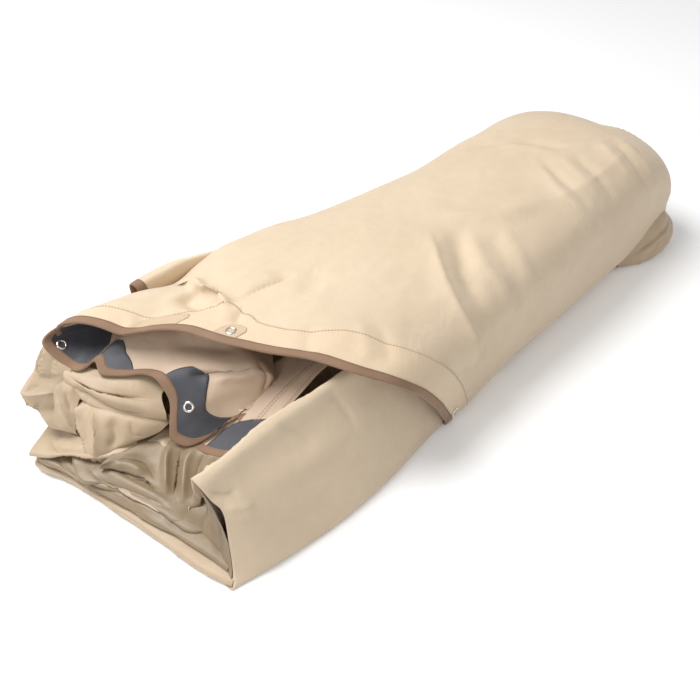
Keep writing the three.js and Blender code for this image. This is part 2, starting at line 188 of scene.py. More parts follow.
# %% Cloth materials
def cloth_finish(name, light, dark, rough, sheen, threads=1150.0, wrinkle=0.0011, gloss=0.32):
    f = Finish(name)
    place, solid = f.place("UV"), f.place("Object")
    warp = f.waves(place, threads, 0)
    weft = f.waves(place, threads * 0.86, 1)
    over = f.maths("MULTIPLY", warp, weft)
    slub = f.clouds(place, 260.0, 2.0)
    weave = f.maths("ADD", f.maths("MULTIPLY", over, 0.5), f.maths("MULTIPLY", slub, 0.6))
    slow = f.clouds(solid, 7.0, 4.0, 0.55)
    fine = f.clouds(solid, 55.0, 5.0, 0.6)
    shade = f.maths("ADD", f.maths("MULTIPLY", slow, 0.65), f.maths("MULTIPLY", fine, 0.35))
    base = f.blend(f.between(shade, -0.15, 1.15), dark, light)
    tinted = f.blend(f.between(over, 0.0, 0.10), base, dark)
    crumple = f.clouds(solid, 26.0, 4.0, 0.5, 0.6)
    soft = f.bump(crumple, wrinkle * 3.0, 0.55)
    bumped = f.node("ShaderNodeBump")
    f.feed(bumped, "Height", weave)
    f.feed(bumped, "Distance", 0.00012)
    f.feed(bumped, "Strength", 0.6)
    f.feed(bumped, "Normal", soft)
    return f.finish(
        Base_Color=tinted,
        Roughness=f.between(fine, rough - 0.06, rough + 0.08),
        Normal=bumped.outputs[0],
        Sheen_Weight=sheen,
        Sheen_Roughness=0.45,
        Specular_IOR_Level=gloss,
    )


OUTER = cloth_finish("outer_cloth_tan", colour(222, 203, 177), colour(202, 181, 153), 0.58, 0.14)
INNER = cloth_finish("inner_cloth_coated", colour(206, 184, 162), colour(186, 162, 140), 0.5, 0.08, gloss=0.4)
# The same tan cloth painted darker: painted shade for the folded pieces at the open end and the tuck at the far end.
FOLD_PAINTED_SHADE = cloth_finish("outer_cloth_painted_shade", colour(202, 180, 152), colour(168, 146, 118), 0.44, 0.1, gloss=0.55)
# A still darker copy of the tan cloth: painted shade for the deep recesses of the open end and for the roll inside.
DEEP_PAINTED_SHADE = cloth_finish("outer_cloth_painted_deep_shade", colour(158, 138, 109), colour(120, 101, 78), 0.38, 0.08, gloss=0.65)
print("cloth finishes:", OUTER.name, INNER.name, FOLD_PAINTED_SHADE.name)

# %% [markdown]
# ## Tape, patches, metal and thread
# The binding is a ribbed brown tape, with ribs across its width. The patches are a
# dark, slightly shiny reinforcing cloth. The eyelets are bright nickel, and the thread is a tan
# slightly darker than the cloth.

# %% Trim materials
def tape_finish(name, light, dark, ribs=900.0):
    f = Finish(name)
    place, solid = f.place("UV"), f.place("Object")
    rib = f.waves(place, ribs, 0)
    grain = f.clouds(solid, 420.0, 3.0)
    slow = f.clouds(solid, 18.0, 3.0)
    base = f.blend(f.between(slow, 0.0, 1.0), dark, light)
    tinted = f.blend(f.between(rib, 0.0, 0.28), base, dark)
    height = f.maths("ADD", f.maths("MULTIPLY", rib, 0.5), f.maths("MULTIPLY", grain, 0.7))
    return f.finish(
        Base_Color=tinted,
        Roughness=f.between(grain, 0.62, 0.82),
        Normal=f.bump(height, 0.00022, 0.7),
        Sheen_Weight=0.18,
        Sheen_Roughness=0.4,
        Specular_IOR_Level=0.3,
    )


def patch_finish(name, light, dark):
    f = Finish(name)
    place, solid = f.place("UV"), f.place("Object")
    over = f.maths("MULTIPLY", f.waves(place, 900.0, 0), f.waves(place, 780.0, 1))
    slow = f.clouds(solid, 24.0, 4.0)
    fine = f.clouds(solid, 160.0, 3.0)
    base = f.blend(f.between(slow, -0.2, 1.2), dark, light)
    height = f.maths("ADD", f.maths("MULTIPLY", over, 0.5), f.maths("MULTIPLY", fine, 0.6))
    return f.finish(
        Base_Color=base,
        Roughness=f.between(fine, 0.38, 0.56),
        Normal=f.bump(height, 0.00018, 0.6),
        Sheen_Weight=0.12,
        Sheen_Roughness=0.35,
        Specular_IOR_Level=0.5,
    )


def metal_finish(name, light):
    f = Finish(name)
    solid = f.place("Object")
    marks = f.clouds(solid, 900.0, 4.0, 0.6, 0.4)
    tarnish = f.clouds(solid, 260.0, 3.0)
    base = f.blend(f.between(tarnish, 0.0, 0.5), light, colour(176, 168, 156))
    return f.finish(
        Base_Color=base,
        Metallic=1.0,
        Roughness=f.between(marks, 0.14, 0.32),
        Normal=f.bump(marks, 0.00005, 0.4),
    )


def thread_finish(name, light, dark):
    f = Finish(name)
    solid = f.place("Object")
    twist = f.clouds(solid, 1400.0, 2.0)
    return f.finish(
        Base_Color=f.blend(twist, dark, light),
        Roughness=f.between(twist, 0.5, 0.7),
        Normal=f.bump(twist, 0.0001, 0.6),
        Sheen_Weight=0.2,
        Specular_IOR_Level=0.35,
    )


TAPE = tape_finish("binding_tape_brown", colour(160, 130, 106), colour(126, 98, 77))
PATCH = patch_finish("reinforcing_patch", colour(74, 75, 82), colour(50, 51, 58))
NICKEL = metal_finish("nickel_eyelet", colour(232, 228, 220))
THREAD = thread_finish("tan_thread", colour(158, 122, 84), colour(126, 94, 62))
BROWN_THREAD = thread_finish("brown_thread", colour(140, 112, 88), colour(112, 86, 66))
print("trim finishes:", TAPE.name, PATCH.name, NICKEL.name, THREAD.name, BROWN_THREAD.name)

# %% [markdown]
# ## Ways to draw cloth
# A turn of cloth is a smooth surface through a few guide lines, so the first helper lays a smooth
# grid through rows of points. The rows are spaced by the real distance between them, because
# evenly numbered rows would overshoot where two guides come close together at a fold.

# %% A smooth curve and a smooth grid through points
def smooth_through(points, count, knots=None):
    """Samples a smooth curve through points, along the first axis of the array."""
    points = np.asarray(points, float)
    if knots is None:
        gaps = np.linalg.norm(np.diff(points, axis=0), axis=-1)
        gaps = gaps.reshape(len(gaps), -1).mean(axis=1)
        knots = np.concatenate([[0.0], np.cumsum(np.maximum(gaps, 1e-6) ** 0.75)])
    slopes = np.empty_like(points)
    step = np.diff(knots).reshape(-1, *([1] * (points.ndim - 1)))
    rise = np.diff(points, axis=0) / step
    slopes[0], slopes[-1] = rise[0], rise[-1]
    weight = step[1:] / (step[1:] + step[:-1])
    slopes[1:-1] = rise[:-1] * weight + rise[1:] * (1 - weight)
    at = np.linspace(knots[0], knots[-1], count)
    cell = np.clip(np.searchsorted(knots, at, side="right") - 1, 0, len(knots) - 2)
    width = (knots[cell + 1] - knots[cell]).reshape(-1, *([1] * (points.ndim - 1)))
    t = ((at - knots[cell]) / (knots[cell + 1] - knots[cell])).reshape(width.shape)
    a, b = points[cell], points[cell + 1]
    return (
        (2 * t**3 - 3 * t**2 + 1) * a
        + (t**3 - 2 * t**2 + t) * width * slopes[cell]
        + (3 * t**2 - 2 * t**3) * b
        + (t**3 - t**2) * width * slopes[cell + 1]
    )


def grid_through(rows, across, along):
    """A grid of points through guide rows: across samples from row to row, along samples on each."""
    rows = np.asarray(rows, float)
    return smooth_through(smooth_through(rows, across).swapaxes(0, 1), along).swapaxes(0, 1)


def even_out(line, count):
    """Spreads count points evenly along a line."""
    line = np.asarray(line, float)
    run = np.concatenate([[0.0], np.cumsum(np.linalg.norm(np.diff(line, axis=0), axis=1))])
    at = np.linspace(0, run[-1], count)
    return np.stack([np.interp(at, run, line[:, k]) for k in range(3)], axis=1)


print("a smooth curve of", len(smooth_through([(0, 0, 0), (1, 2, 0), (3, 2, 1)], 9)), "points")

# %% [markdown]
# ## Creases, dents and soft unevenness
# Cloth shows how it was handled: long folds, short puckers near a seam, broad soft dents. Each one
# moves the surface along its own normal by an amount that fades with the distance from a line
# or a point, which keeps the shape smooth and easy to tune.

# %% Helpers that shape a surface
def normals_of(grid, flip=False):
    """The direction out of the cloth at each point of a grid."""
    out = np.cross(np.gradient(grid, axis=0), np.gradient(grid, axis=1))
    length = np.linalg.norm(out, axis=-1, keepdims=True)
    out = out / np.maximum(length, 1e-9)
    return -out if flip else out


def distance_to_line(grid, line, normals):
    """Distance from each point to a line, which side it is on, and how far along the line it is."""
    best = np.full(grid.shape[:2], 1e9)
    side = np.zeros(grid.shape[:2])
    share = np.zeros(grid.shape[:2])
    run = np.concatenate([[0.0], np.cumsum(np.linalg.norm(np.diff(line, axis=0), axis=1))])
    for i in range(len(line) - 1):
        a, b = line[i], line[i + 1]
        t = np.clip(((grid - a) @ (b - a)) / ((b - a) @ (b - a)), 0, 1)
        offset = grid - (a + t[..., None] * (b - a))
        offset = offset - (offset * normals).sum(-1, keepdims=True) * normals
        d = np.linalg.norm(offset, axis=-1) + 0.05 * np.linalg.norm(grid - a - t[..., None] * (b - a), axis=-1)
        nearer = d < best
        best = np.where(nearer, d, best)
        way = np.cross(normals, (b - a) / np.linalg.norm(b - a))
        side = np.where(nearer, np.sign((offset * way).sum(-1)), side)
        share = np.where(nearer, (run[i] + t * (run[i + 1] - run[i])) / run[-1], share)
    return best, side, share


def crease(grid, points, width, depth, kind="ridge", fade=0.25, flip=False):
    """Raises a ridge, sinks a valley or makes a step along a line of points."""
    line = smooth_through(points, 4 * len(points) + 1) if len(points) > 2 else np.asarray(points, float)
    normals = normals_of(grid, flip)
    d, side, share = distance_to_line(grid, line, normals)
    ends = np.clip(np.minimum(share, 1 - share) / max(fade, 1e-3), 0, 1)
    ends = ends * ends * (3 - 2 * ends)
    if kind == "step":
        amount = side * (d / width) * np.exp(1 - d / width)
    elif kind == "sharp":
        amount = np.exp(-d / width)
    else:
        amount = np.exp(-((d / width) ** 2))
    return grid + normals * (depth * amount * ends)[..., None]


def dent(grid, centre, radius, depth, flip=False):
    """A soft dent (or a swelling, with a negative depth) round a point."""
    d = np.linalg.norm(grid - np.asarray(centre, float), axis=-1)
    return grid - normals_of(grid, flip) * (depth * np.exp(-((d / radius) ** 2)))[..., None]


def soft_unevenness(grid, size, height, seed, folds=0.0, stretch=(1, 1, 1), flip=False):
    """Broad unevenness, with folds as a share of sharp-topped ridges in it."""
    shift = Vector((seed * 7.31, seed * 3.17, seed * 1.77))
    flat = (grid / size * np.asarray(stretch)).reshape(-1, 3)
    soft = np.array([noise.noise(Vector(p) + shift) for p in flat])
    ridged = 0.5 - np.abs(soft) * 2.0
    amount = ((1 - folds) * soft + folds * ridged).reshape(grid.shape[:2])
    return grid + normals_of(grid, flip) * (height * amount)[..., None]


print("shaping helpers ready")

# %% [markdown]
# ## From a grid to a piece of cloth
# A grid becomes a closed thin solid: one side, the other side and a narrow rim. Its texture map is
# measured in metres along the cloth, so that the weave has one scale on every piece. The grid
# is kept with the piece, because tape, patches and stitches are laid on it later.

# %% The cloth maker
class Cloth:
    """A sheet as a grid of points. Its first row is the edge that carries the binding."""

    def __init__(self, grid, flip=False, floor=0.8):
        self.points = np.array(grid, float)
        self.points[..., 2] = np.maximum(self.points[..., 2], floor)  # it lies on the floor, not in it
        self.normals = normals_of(self.points, flip)
        self.flip = flip
        along = np.linalg.norm(np.diff(self.points[0], axis=0), axis=1)
        self.edge = np.concatenate([[0.0], np.cumsum(along)])
        inward = np.linalg.norm(np.diff(self.points, axis=0), axis=2)
        self.inward = np.concatenate([np.zeros((1, inward.shape[1])), np.cumsum(inward, axis=0)])

    def at(self, along, inward, lift=0.0):
        """The point at a distance along the edge and a distance in from it, lifted off the cloth."""
        along, inward, lift = np.broadcast_arrays(*(np.asarray(v, float) for v in (along, inward, lift)))
        shape = along.shape
        along, inward, lift = along.ravel(), inward.ravel(), lift.ravel()
        column = np.interp(along, self.edge, np.arange(len(self.edge)))
        left = np.minimum(column.astype(int), len(self.edge) - 2)
        each = np.arange(len(along))
        spot = np.zeros((len(along), 3))
        for c, share in ((left, 1 - (column - left)), (left + 1, column - left)):
            runs = self.inward[:, c]
            r = np.clip((runs <= inward).sum(axis=0) - 1, 0, len(runs) - 2)
            gap = np.maximum(runs[r + 1, each] - runs[r, each], 1e-9)
            t = np.minimum((inward - runs[r, each]) / gap, 1)[:, None]
            s = np.clip(t, 0, 1)
            out = self.normals[r, c] * (1 - s) + self.normals[r + 1, c] * s
            on = self.points[r, c] * (1 - t) + self.points[r + 1, c] * t
            spot += share[:, None] * (on + out * lift[:, None])
        return spot.reshape(shape + (3,))

    def area(self):
        """The area of one side, in square metres."""
        p = self.points
        a = np.cross(p[1:, :-1] - p[:-1, :-1], p[:-1, 1:] - p[:-1, :-1])
        b = np.cross(p[1:, :-1] - p[1:, 1:], p[:-1, 1:] - p[1:, 1:])
        return 0.5 * (np.linalg.norm(a, axis=-1) + np.linalg.norm(b, axis=-1)).sum() * 1e-6


def mesh_piece(name, vertices, faces, materials, face_material=None, uv=None):
    """A mesh object from millimetre points, smooth-shaded and with its faces out."""
    mesh = bpy.data.meshes.new(name)
    mesh.from_pydata([tuple(v) for v in np.asarray(vertices) * MM], [], [tuple(f) for f in faces])
    for material in materials:
        mesh.materials.append(material)
    if face_material is not None:
        mesh.polygons.foreach_set("material_index", np.asarray(face_material, np.int32))
    mesh.polygons.foreach_set("use_smooth", np.ones(len(mesh.polygons), bool))
    if uv is not None:
        layer = mesh.uv_layers.new(name="cloth")
        index = np.empty(len(mesh.loops), np.int32)
        mesh.loops.foreach_get("vertex_index", index)
        layer.data.foreach_set("uv", (np.asarray(uv)[index] * MM).ravel().astype(np.float32))
    mesh.validate()
    mesh.update()
    piece = bpy.data.objects.new(name, mesh)
    bpy.context.scene.collection.objects.link(piece)
    return piece


def thin_solid(top, below):
    """Vertices and faces of the space between two grids of the same size, wound outwards."""
    rows, columns = top.shape[:2]
    count = rows * columns
    vertices = np.concatenate([top.reshape(-1, 3), below.reshape(-1, 3)])
    r, c = np.meshgrid(np.arange(rows - 1), np.arange(columns - 1), indexing="ij")
    a = (r * columns + c).ravel()
    quads = np.stack([a, a + columns, a + columns + 1, a + 1], axis=1)
    faces = [quads, quads[:, ::-1] + count]
    first, last = np.arange(columns - 1), (rows - 1) * columns + np.arange(columns - 1)
    faces.append(np.stack([first, first + 1, first + 1 + count, first + count], axis=1))
    faces.append(np.stack([last + 1, last, last + count, last + 1 + count], axis=1))
    left = np.arange(rows - 1) * columns
    right = left + columns - 1
    faces.append(np.stack([left + columns, left, left + count, left + columns + count], axis=1))
    faces.append(np.stack([right, right + columns, right + columns + count, right + count], axis=1))
    rim_faces = 2 * (columns - 1) + 2 * (rows - 1)
    side = np.concatenate([[0] * len(quads), [1] * len(quads), [0] * rim_faces])
    faces = np.concatenate(faces)
    p = vertices[faces]
    volume = np.einsum("ij,ij->i", p[:, 0], np.cross(p[:, 1], p[:, 2]) + np.cross(p[:, 2], p[:, 3])).sum()
    return vertices, faces if volume > 0 else faces[:, ::-1], side


def cloth_piece(name, cloth, materials, thickness=CLOTH):
    """The piece itself. The first material is on the side that the normals point to."""
    half = cloth.normals * thickness / 2
    vertices, faces, side = thin_solid(cloth.points + half, cloth.points - half)
    run = np.broadcast_to(cloth.edge, cloth.points.shape[:2])
    uv = np.stack([run, cloth.inward], axis=-1).reshape(-1, 2)
    piece = mesh_piece(name, vertices, faces, materials, side, np.concatenate([uv, uv]))
    print(f"{name}: {cloth.area():.3f} square metres, {len(faces)} faces")
    return piece


# %% [markdown]
# ## The outer wrap: its loaf shape
# The outermost turn of the sheet is wrapped round everything else like the crust of a loaf. Across
# the bundle it is a soft rounded box: rounder above, squarer below where it sits. A handful of
# stations along the bundle say how wide and how high the loaf is, and a rounded-box formula
# fills in each section.

# %% Stations of the wrap and its section
# along the bundle: position, front, back, bottom, top, squareness of the top
WRAP_STATIONS = np.array(
    [
        (-440, -158, 206, 2, 150, 3.0),
        (-330, -176, 199, 2, 163, 2.8),
        (-240, -183, 184, 2, 170, 2.6),
        (-180, -186, 182, 2, 180, 2.6),
        (-80, -187, 168, 2, 186, 2.6),
        (0, -191, 138, 2, 188, 2.7),
        (150, -194, 102, 3, 191, 3.1),
        (290, -194, 90, 3, 196, 3.2),
        (400, -193, 78, 4, 196, 3.0),
        (450, -191, 54, 7, 180, 2.8),
        (484, -189, 20, 10, 152, 2.7),
        (501, -183, -20, 16, 126, 2.5),
        (508, -168, -60, 32, 100, 2.3),
    ],
    float,
)
SQUARE_BELOW = 7.0
TURN_FROM, TURN_TO = math.radians(-62), math.radians(254)
ALONG_WRAP = 210
ROUND_WRAP = 200
SECTION_POINTS = 800  # points of one fine section, before the columns are picked from it


def spread(count, places, closeness):
    """Shares from 0 to 1 that lie closer together where closeness is low."""
    speed = np.interp(np.linspace(0, 1, count - 1), places, closeness)
    run = np.concatenate([[0.0], np.cumsum(speed)])
    return run / run[-1]


# finer where the pinch and the shoulder are, coarser underneath
COLUMN_PLACES = spread(ROUND_WRAP, [0, 0.2, 0.28, 0.6, 0.72, 1], [1.5, 1.4, 0.75, 0.75, 1.1, 1.3])


def wrap_section(x):
    """Points across the wrap at one place, from under the back, over the top, to under the front."""
    front, back, low, high, square = (
        np.interp(x, WRAP_STATIONS[:, 0], WRAP_STATIONS[:, k]) for k in range(1, 6)
    )
    angle = np.linspace(TURN_FROM, TURN_TO, 720)
    power = 2 / np.where(np.sin(angle) < 0, SQUARE_BELOW, square)
    y = (front + back) / 2 + (back - front) / 2 * np.sign(np.cos(angle)) * np.abs(np.cos(angle)) ** power
    z = (low + high) / 2 + (high - low) / 2 * np.sign(np.sin(angle)) * np.abs(np.sin(angle)) ** power
    section = even_out(np.stack([np.full_like(y, x), y, z], axis=1), SECTION_POINTS)
    pick = np.interp(COLUMN_PLACES, np.linspace(0, 1, SECTION_POINTS), np.arange(SECTION_POINTS))
    low_index = np.minimum(pick.astype(int), SECTION_POINTS - 2)
    part = (pick - low_index)[:, None]
    return section[low_index] * (1 - part) + section[low_index + 1] * part


FAR_END = 508  # where the closed end is, along the bundle
SECTION_X = np.linspace(-440, FAR_END, 320)
smooth_stations = smooth_through(WRAP_STATIONS, 90)
smooth_stations = smooth_stations[np.argsort(smooth_stations[:, 0])]
WRAP_STATIONS = smooth_stations
SECTIONS = np.stack([wrap_section(x) for x in SECTION_X])


def on_wrap(x, column):
    """The plain loaf's surface at a place along it, for one column of the grid."""
    row = np.clip(np.interp(x, SECTION_X, np.arange(len(SECTION_X))), 0, len(SECTION_X) - 1.001)
    k = np.floor(row).astype(int)
    f = (row - k)[..., None]
    return SECTIONS[k, column] * (1 - f) + SECTIONS[k + 1, column] * f


print("loaf sections:", SECTIONS.shape)

# %% [markdown]
# ## The outer wrap: its bound edge
# The hem crosses the bundle on a slant: from a pointed tip at the back, in a wave over the top, and
# down the front to a corner on the floor. The points below follow that edge. The loaf is
# cut there, and near the cut it is pulled gently on to the line, because a hem hangs stiffer
# than the cloth behind it.

# %% The wrap's grid
HEM_EDGE = np.array(
    [
        (-405, 190, 154),
        (-385, 157, 164),
        (-371, 132, 161),
        (-360, 111, 156),
        (-346, 97, 160),
        (-328, 77, 165),
        (-315, 52, 169),
        (-305, 16, 171),
        (-291, -22, 172),
        (-275, -58, 172),
        (-249, -99, 169),
        (-228, -141, 161),
        (-202, -176, 148),
        (-174, -194, 124),
        (-139, -199, 78),
        (-95, -191, 8),
    ],
    float,
)
# down the back from the tip: position along the bundle, share of the way from the floor
BACK_CUT = [(-405, 0.94), (-399, 0.8), (-391, 0.55), (-383, 0.25), (-378, 0.0)]


def column_of(point):
    """Which column of the loaf passes nearest to a point, as a share from 0 to 1."""
    section = wrap_section(point[0])
    return np.argmin(np.linalg.norm(section - point, axis=1)) / (ROUND_WRAP - 1)


hem_line = smooth_through(HEM_EDGE, 120)
hem_share = np.maximum.accumulate([column_of(p) for p in hem_line])
hem_share = hem_share + np.linspace(0, 1e-3, len(hem_share))
hem_pull = np.stack(
    [
        p - on_wrap(np.array(p[0]), int(round(s * (ROUND_WRAP - 1))))
        for p, s in zip(hem_line, np.clip(hem_share, 0, 1))
    ]
)
back_x = [x for x, _ in BACK_CUT[::-1]]
back_share = [s * hem_share[0] for _, s in BACK_CUT[::-1]]
cut_share = np.concatenate([back_share, hem_share])
cut_x = np.concatenate([back_x, hem_line[:, 0]])
cut_pull = np.concatenate([np.zeros((len(back_x), 3)), hem_pull])
columns = np.linspace(0, 1, ROUND_WRAP)
start_x = np.interp(columns, cut_share, cut_x)
start_pull = np.stack([np.interp(columns, cut_share, cut_pull[:, k]) for k in range(3)], axis=1)
kernel = np.hanning(9) / np.hanning(9).sum()
start_x = np.convolve(np.pad(start_x, 4, "edge"), kernel, "valid")
start_pull = np.stack(
    [np.convolve(np.pad(start_pull[:, k], 4, "edge"), kernel, "valid") for k in range(3)], axis=1
)

HEM_STIFFNESS = 170  # how far behind the hem its pull fades out
ease = spread(ALONG_WRAP, [0, 0.12, 0.4, 0.55, 0.8, 0.93, 1], [0.5, 0.6, 0.75, 1.2, 1.2, 0.8, 0.2])
wrap_grid = np.empty((ALONG_WRAP, ROUND_WRAP, 3))
for column in range(ROUND_WRAP):
    x = start_x[column] + (FAR_END - start_x[column]) * ease
    line = on_wrap(x, column)
    far = np.clip((x - start_x[column]) / HEM_STIFFNESS, 0, 1)
    fall = (1 - far) ** 2 * (1 + 2 * far)
    wrap_grid[:, column] = line + start_pull[column] * fall[:, None]
cap = wrap_grid[-1]
centre = cap.mean(axis=0) + np.array([3, 0, 0])
closing = [cap + (centre - cap) * t for t in (0.25, 0.5, 0.75, 0.96)]
wrap_grid = np.concatenate([wrap_grid, closing])
print("wrap grid:", wrap_grid.shape, "hem shares", round(float(hem_share[0]), 2), round(float(hem_share[-1]), 2))

# %% [markdown]
# ## The outer wrap: how it creases
# The cloth is stretched over the roll inside it. It is pulled into a small pit where the hem was
# pinched, it breaks along a soft shoulder where the top meets the front, and it puckers at the far end
# where it was rolled tight. Each line below is one of those: where it runs, how wide it is and how
# far it stands out (or sinks in, when negative).

# %% Creases of the wrap
# name: (kind, width, height, fade, points)
WRAP_CREASES = {
    "shoulder": (
        "round", 17, 7.0, 0.3,
        [(30, -22, 192), (72, -60, 194), (113, -100, 190), (165, -122, 189), (215, -140, 188)],
    ),
    "far shoulder": (
        "sharp", 16, 4.0, 0.3,
        [(180, -132, 188), (250, -146, 188), (330, -148, 188), (410, -142, 186)],
    ),
    "front ridge": (
        "sharp", 17, 12.0, 0.3,
        [
            (33, -44, 192), (-4, -82, 186), (-36, -122, 176), (-54, -159, 157), (-53, -186, 120),
            (-44, -190, 60),
        ],
    ),
    "front valley": (
        "round", 15, -7.0, 0.3,
        [(58, -70, 193), (24, -108, 184), (-8, -140, 168), (-22, -178, 135)],
    ),
    "second ridge": (
        "round", 12, 4.0, 0.35,
        [(70, -78, 193), (45, -111, 186), (24, -148, 170), (27, -177, 142), (20, -190, 100)],
    ),
    "third ridge": (
        "round", 13, 3.0, 0.35,
        [(112, -112, 190), (85, -146, 178), (78, -172, 155), (80, -187, 115)],
    ),
    "third valley": (
        "round", 13, -2.5, 0.35,
        [(85, -108, 192), (62, -140, 178), (52, -172, 152), (56, -188, 105)],
    ),
    "far pucker 1": (
        "sharp", 9, 4.5, 0.4,
        [(262, -57, 199), (238, -100, 197), (219, -135, 188), (222, -165, 172), (232, -184, 140)],
    ),
    "far dip 1": (
        "round", 9, -4.0, 0.4,
        [(275, -60, 199), (252, -104, 196), (240, -142, 185), (246, -172, 162)],
    ),
    "far pucker 2": (
        "sharp", 9, 4.0, 0.4,
        [(300, -75, 200), (280, -112, 196), (268, -146, 184), (275, -176, 152)],
    ),
    "far dip 2": (
        "round", 9, -4.0, 0.4,
        [(318, -84, 200), (302, -120, 194), (296, -152, 180), (304, -180, 140)],
    ),
    "far pucker 3": (
        "sharp", 9, 4.5, 0.4,
        [(379, -95, 199), (356, -128, 193), (348, -157, 180), (368, -182, 140)],
    ),
    "far dip 3": (
        "round", 8, -3.5, 0.4,
        [(398, -104, 197), (378, -140, 188), (376, -168, 168), (398, -188, 120)],
    ),
    "far pucker 4": (
        "sharp", 8, 4.0, 0.4,
        [(414, -100, 194), (396, -140, 186), (400, -172, 160), (422, -186, 110)],
    ),
    "far top dip": ("round", 9, -4.5, 0.35, [(285, -10, 201), (306, -48, 201), (320, -88, 200)]),
    "far top ridge": ("round", 9, 3.0, 0.35, [(262, 0, 200), (284, -38, 201), (300, -72, 200)]),
    "long top crease": (
        "sharp", 6, -3.0, 0.3,
        [(225, 45, 195), (258, 15, 199), (296, -20, 201), (330, -52, 201)],
    ),
    "end fold 1": (
        "sharp", 8, 4.0, 0.35,
        [(430, -60, 190), (452, -100, 178), (468, -140, 150), (474, -165, 110)],
    ),
    "end dip 1": (
        "round", 8, -4.0, 0.35,
        [(444, -50, 188), (468, -95, 172), (480, -135, 146), (486, -160, 112)],
    ),
    "back sag 1": ("round", 30, -5.0, 0.4, [(-150, 150, 160), (-60, 160, 90), (-40, 150, 30)]),
    "back fold 1": ("round", 14, 5.0, 0.4, [(-230, 160, 150), (-150, 176, 100), (-80, 165, 40)]),
    "back fold 2": ("round", 12, 4.0, 0.4, [(60, 120, 170), (110, 140, 110), (190, 120, 30)]),
    "back dip 2": ("round", 14, -4.0, 0.4, [(90, 118, 172), (150, 135, 110), (220, 115, 30)]),
    "back fold 3": ("sharp", 10, 4.0, 0.4, [(300, 80, 175), (330, 105, 120), (400, 85, 50)]),
    "back dip 3": ("round", 10, -4.0, 0.4, [(330, 75, 172), (362, 98, 115), (424, 75, 50)]),
}


def creased(grid, lines, flip):
    for kind, width, height, fade, points in lines.values():
        grid = crease(grid, points, width, height, kind, fade, flip)
    return grid


# place, radius and depth of the broad swellings along the back of the top
SWELLINGS = [
    ((-345, 168, 152), 34, -3), ((-285, 166, 158), 36, -6),
    ((-165, 160, 168), 40, -9), ((-100, 160, 174), 40, -7),
]
for spot, radius, depth in SWELLINGS:
    wrap_grid = dent(wrap_grid, spot, radius, depth, flip=True)
wrap_grid = soft_unevenness(wrap_grid, 150, 4.0, seed=3, folds=0.25, stretch=(0.8, 1.3, 1.3), flip=True)
wrap_grid = soft_unevenness(wrap_grid, 48, 1.3, seed=9, folds=0.5, stretch=(0.6, 1.2, 1.2), flip=True)
wrap_grid = creased(wrap_grid, WRAP_CREASES, True)
print(len(WRAP_CREASES), "creases in the wrap")

# %% [markdown]
# ## The pinch in the hem
# Just behind the hem, the cloth has been pinched into a small deep pit. A short thick fold runs from
# the pit towards the eyelet, with a hollow on each side of it, and one long thin crease runs away
# across the top.

# %% Pit, fold and thin crease
PINCH = {
    "fold from the pit": (
        "round", 7, 11.0, 0.15,
        [
            (-234, 136, 163), (-238, 118, 166), (-243, 100, 169), (-242, 76, 172), (-248, 52, 175),
            (-256, 36, 175),
        ],
    ),
    "hollow before it": (
        "round", 13, -12.0, 0.25,
        [(-262, 118, 164), (-264, 99, 168), (-263, 80, 170), (-262, 62, 172)],
    ),
    "hollow behind it": ("round", 8, -4.5, 0.3, [(-226, 100, 170), (-226, 74, 174), (-232, 50, 176)]),
    "thin crease": (
        "sharp", 4.5, -6.0, 0.3,
        [(-247, 58, 174), (-228, 42, 177), (-205, 32, 178), (-180, 22, 179), (-150, 12, 181)],
    ),
    "swell over it": ("round", 13, 4.5, 0.35, [(-222, 60, 176), (-192, 42, 179), (-165, 30, 180)]),
    "eyelet crease": (
        "round", 6, -4.5, 0.3,
        [(-236, 30, 176), (-246, 22, 176), (-260, 14, 175), (-268, 2, 174)],
    ),
    "eyelet swell": ("round", 9, 2.5, 0.3, [(-252, 40, 175), (-268, 30, 173), (-280, 24, 172)]),
    "soft dip": ("round", 16, -3.0, 0.35, [(-172, -32, 180), (-166, -18, 180), (-125, -8, 182)]),
    "hem ripple 1": ("round", 9, -2.6, 0.3, [(-150, -112, 172), (-168, -140, 164), (-186, -168, 153)]),
    "hem ripple 2": ("round", 9, 2.0, 0.3, [(-166, -96, 174), (-186, -124, 168), (-206, -150, 160)]),
    "hem ripple 3": ("round", 10, -2.2, 0.3, [(-205, -60, 176), (-232, -78, 174), (-252, -96, 170)]),
    "hem ripple 4": ("round", 9, 2.4, 0.3, [(-330, 128, 163), (-346, 112, 160), (-356, 100, 158)]),
    "tip fold": ("round", 10, 2.5, 0.3, [(-392, 172, 160), (-352, 160, 165), (-310, 148, 166)]),
}
wrap_grid = creased(wrap_grid, PINCH, True)
wrap_grid = dent(wrap_grid, (-239, 137, 151), 8.0, 13, flip=True)
outer_wrap = Cloth(wrap_grid, flip=True, floor=4.5)
wrap_piece = cloth_piece("outer_wrap_cloth", outer_wrap, [OUTER, INNER], CLOTH)
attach(wrap_piece, "root")
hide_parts("outer_wrap")

# %% [markdown]
# ## The inner turn
# At the back the sheet turns under itself, and its hem comes forward again inside the mouth of the
# bundle: down into a pocket, over a hump, over the top of a roll and into a loose curl. The first
# guide row is the bound edge, and the others go deeper into the bundle.

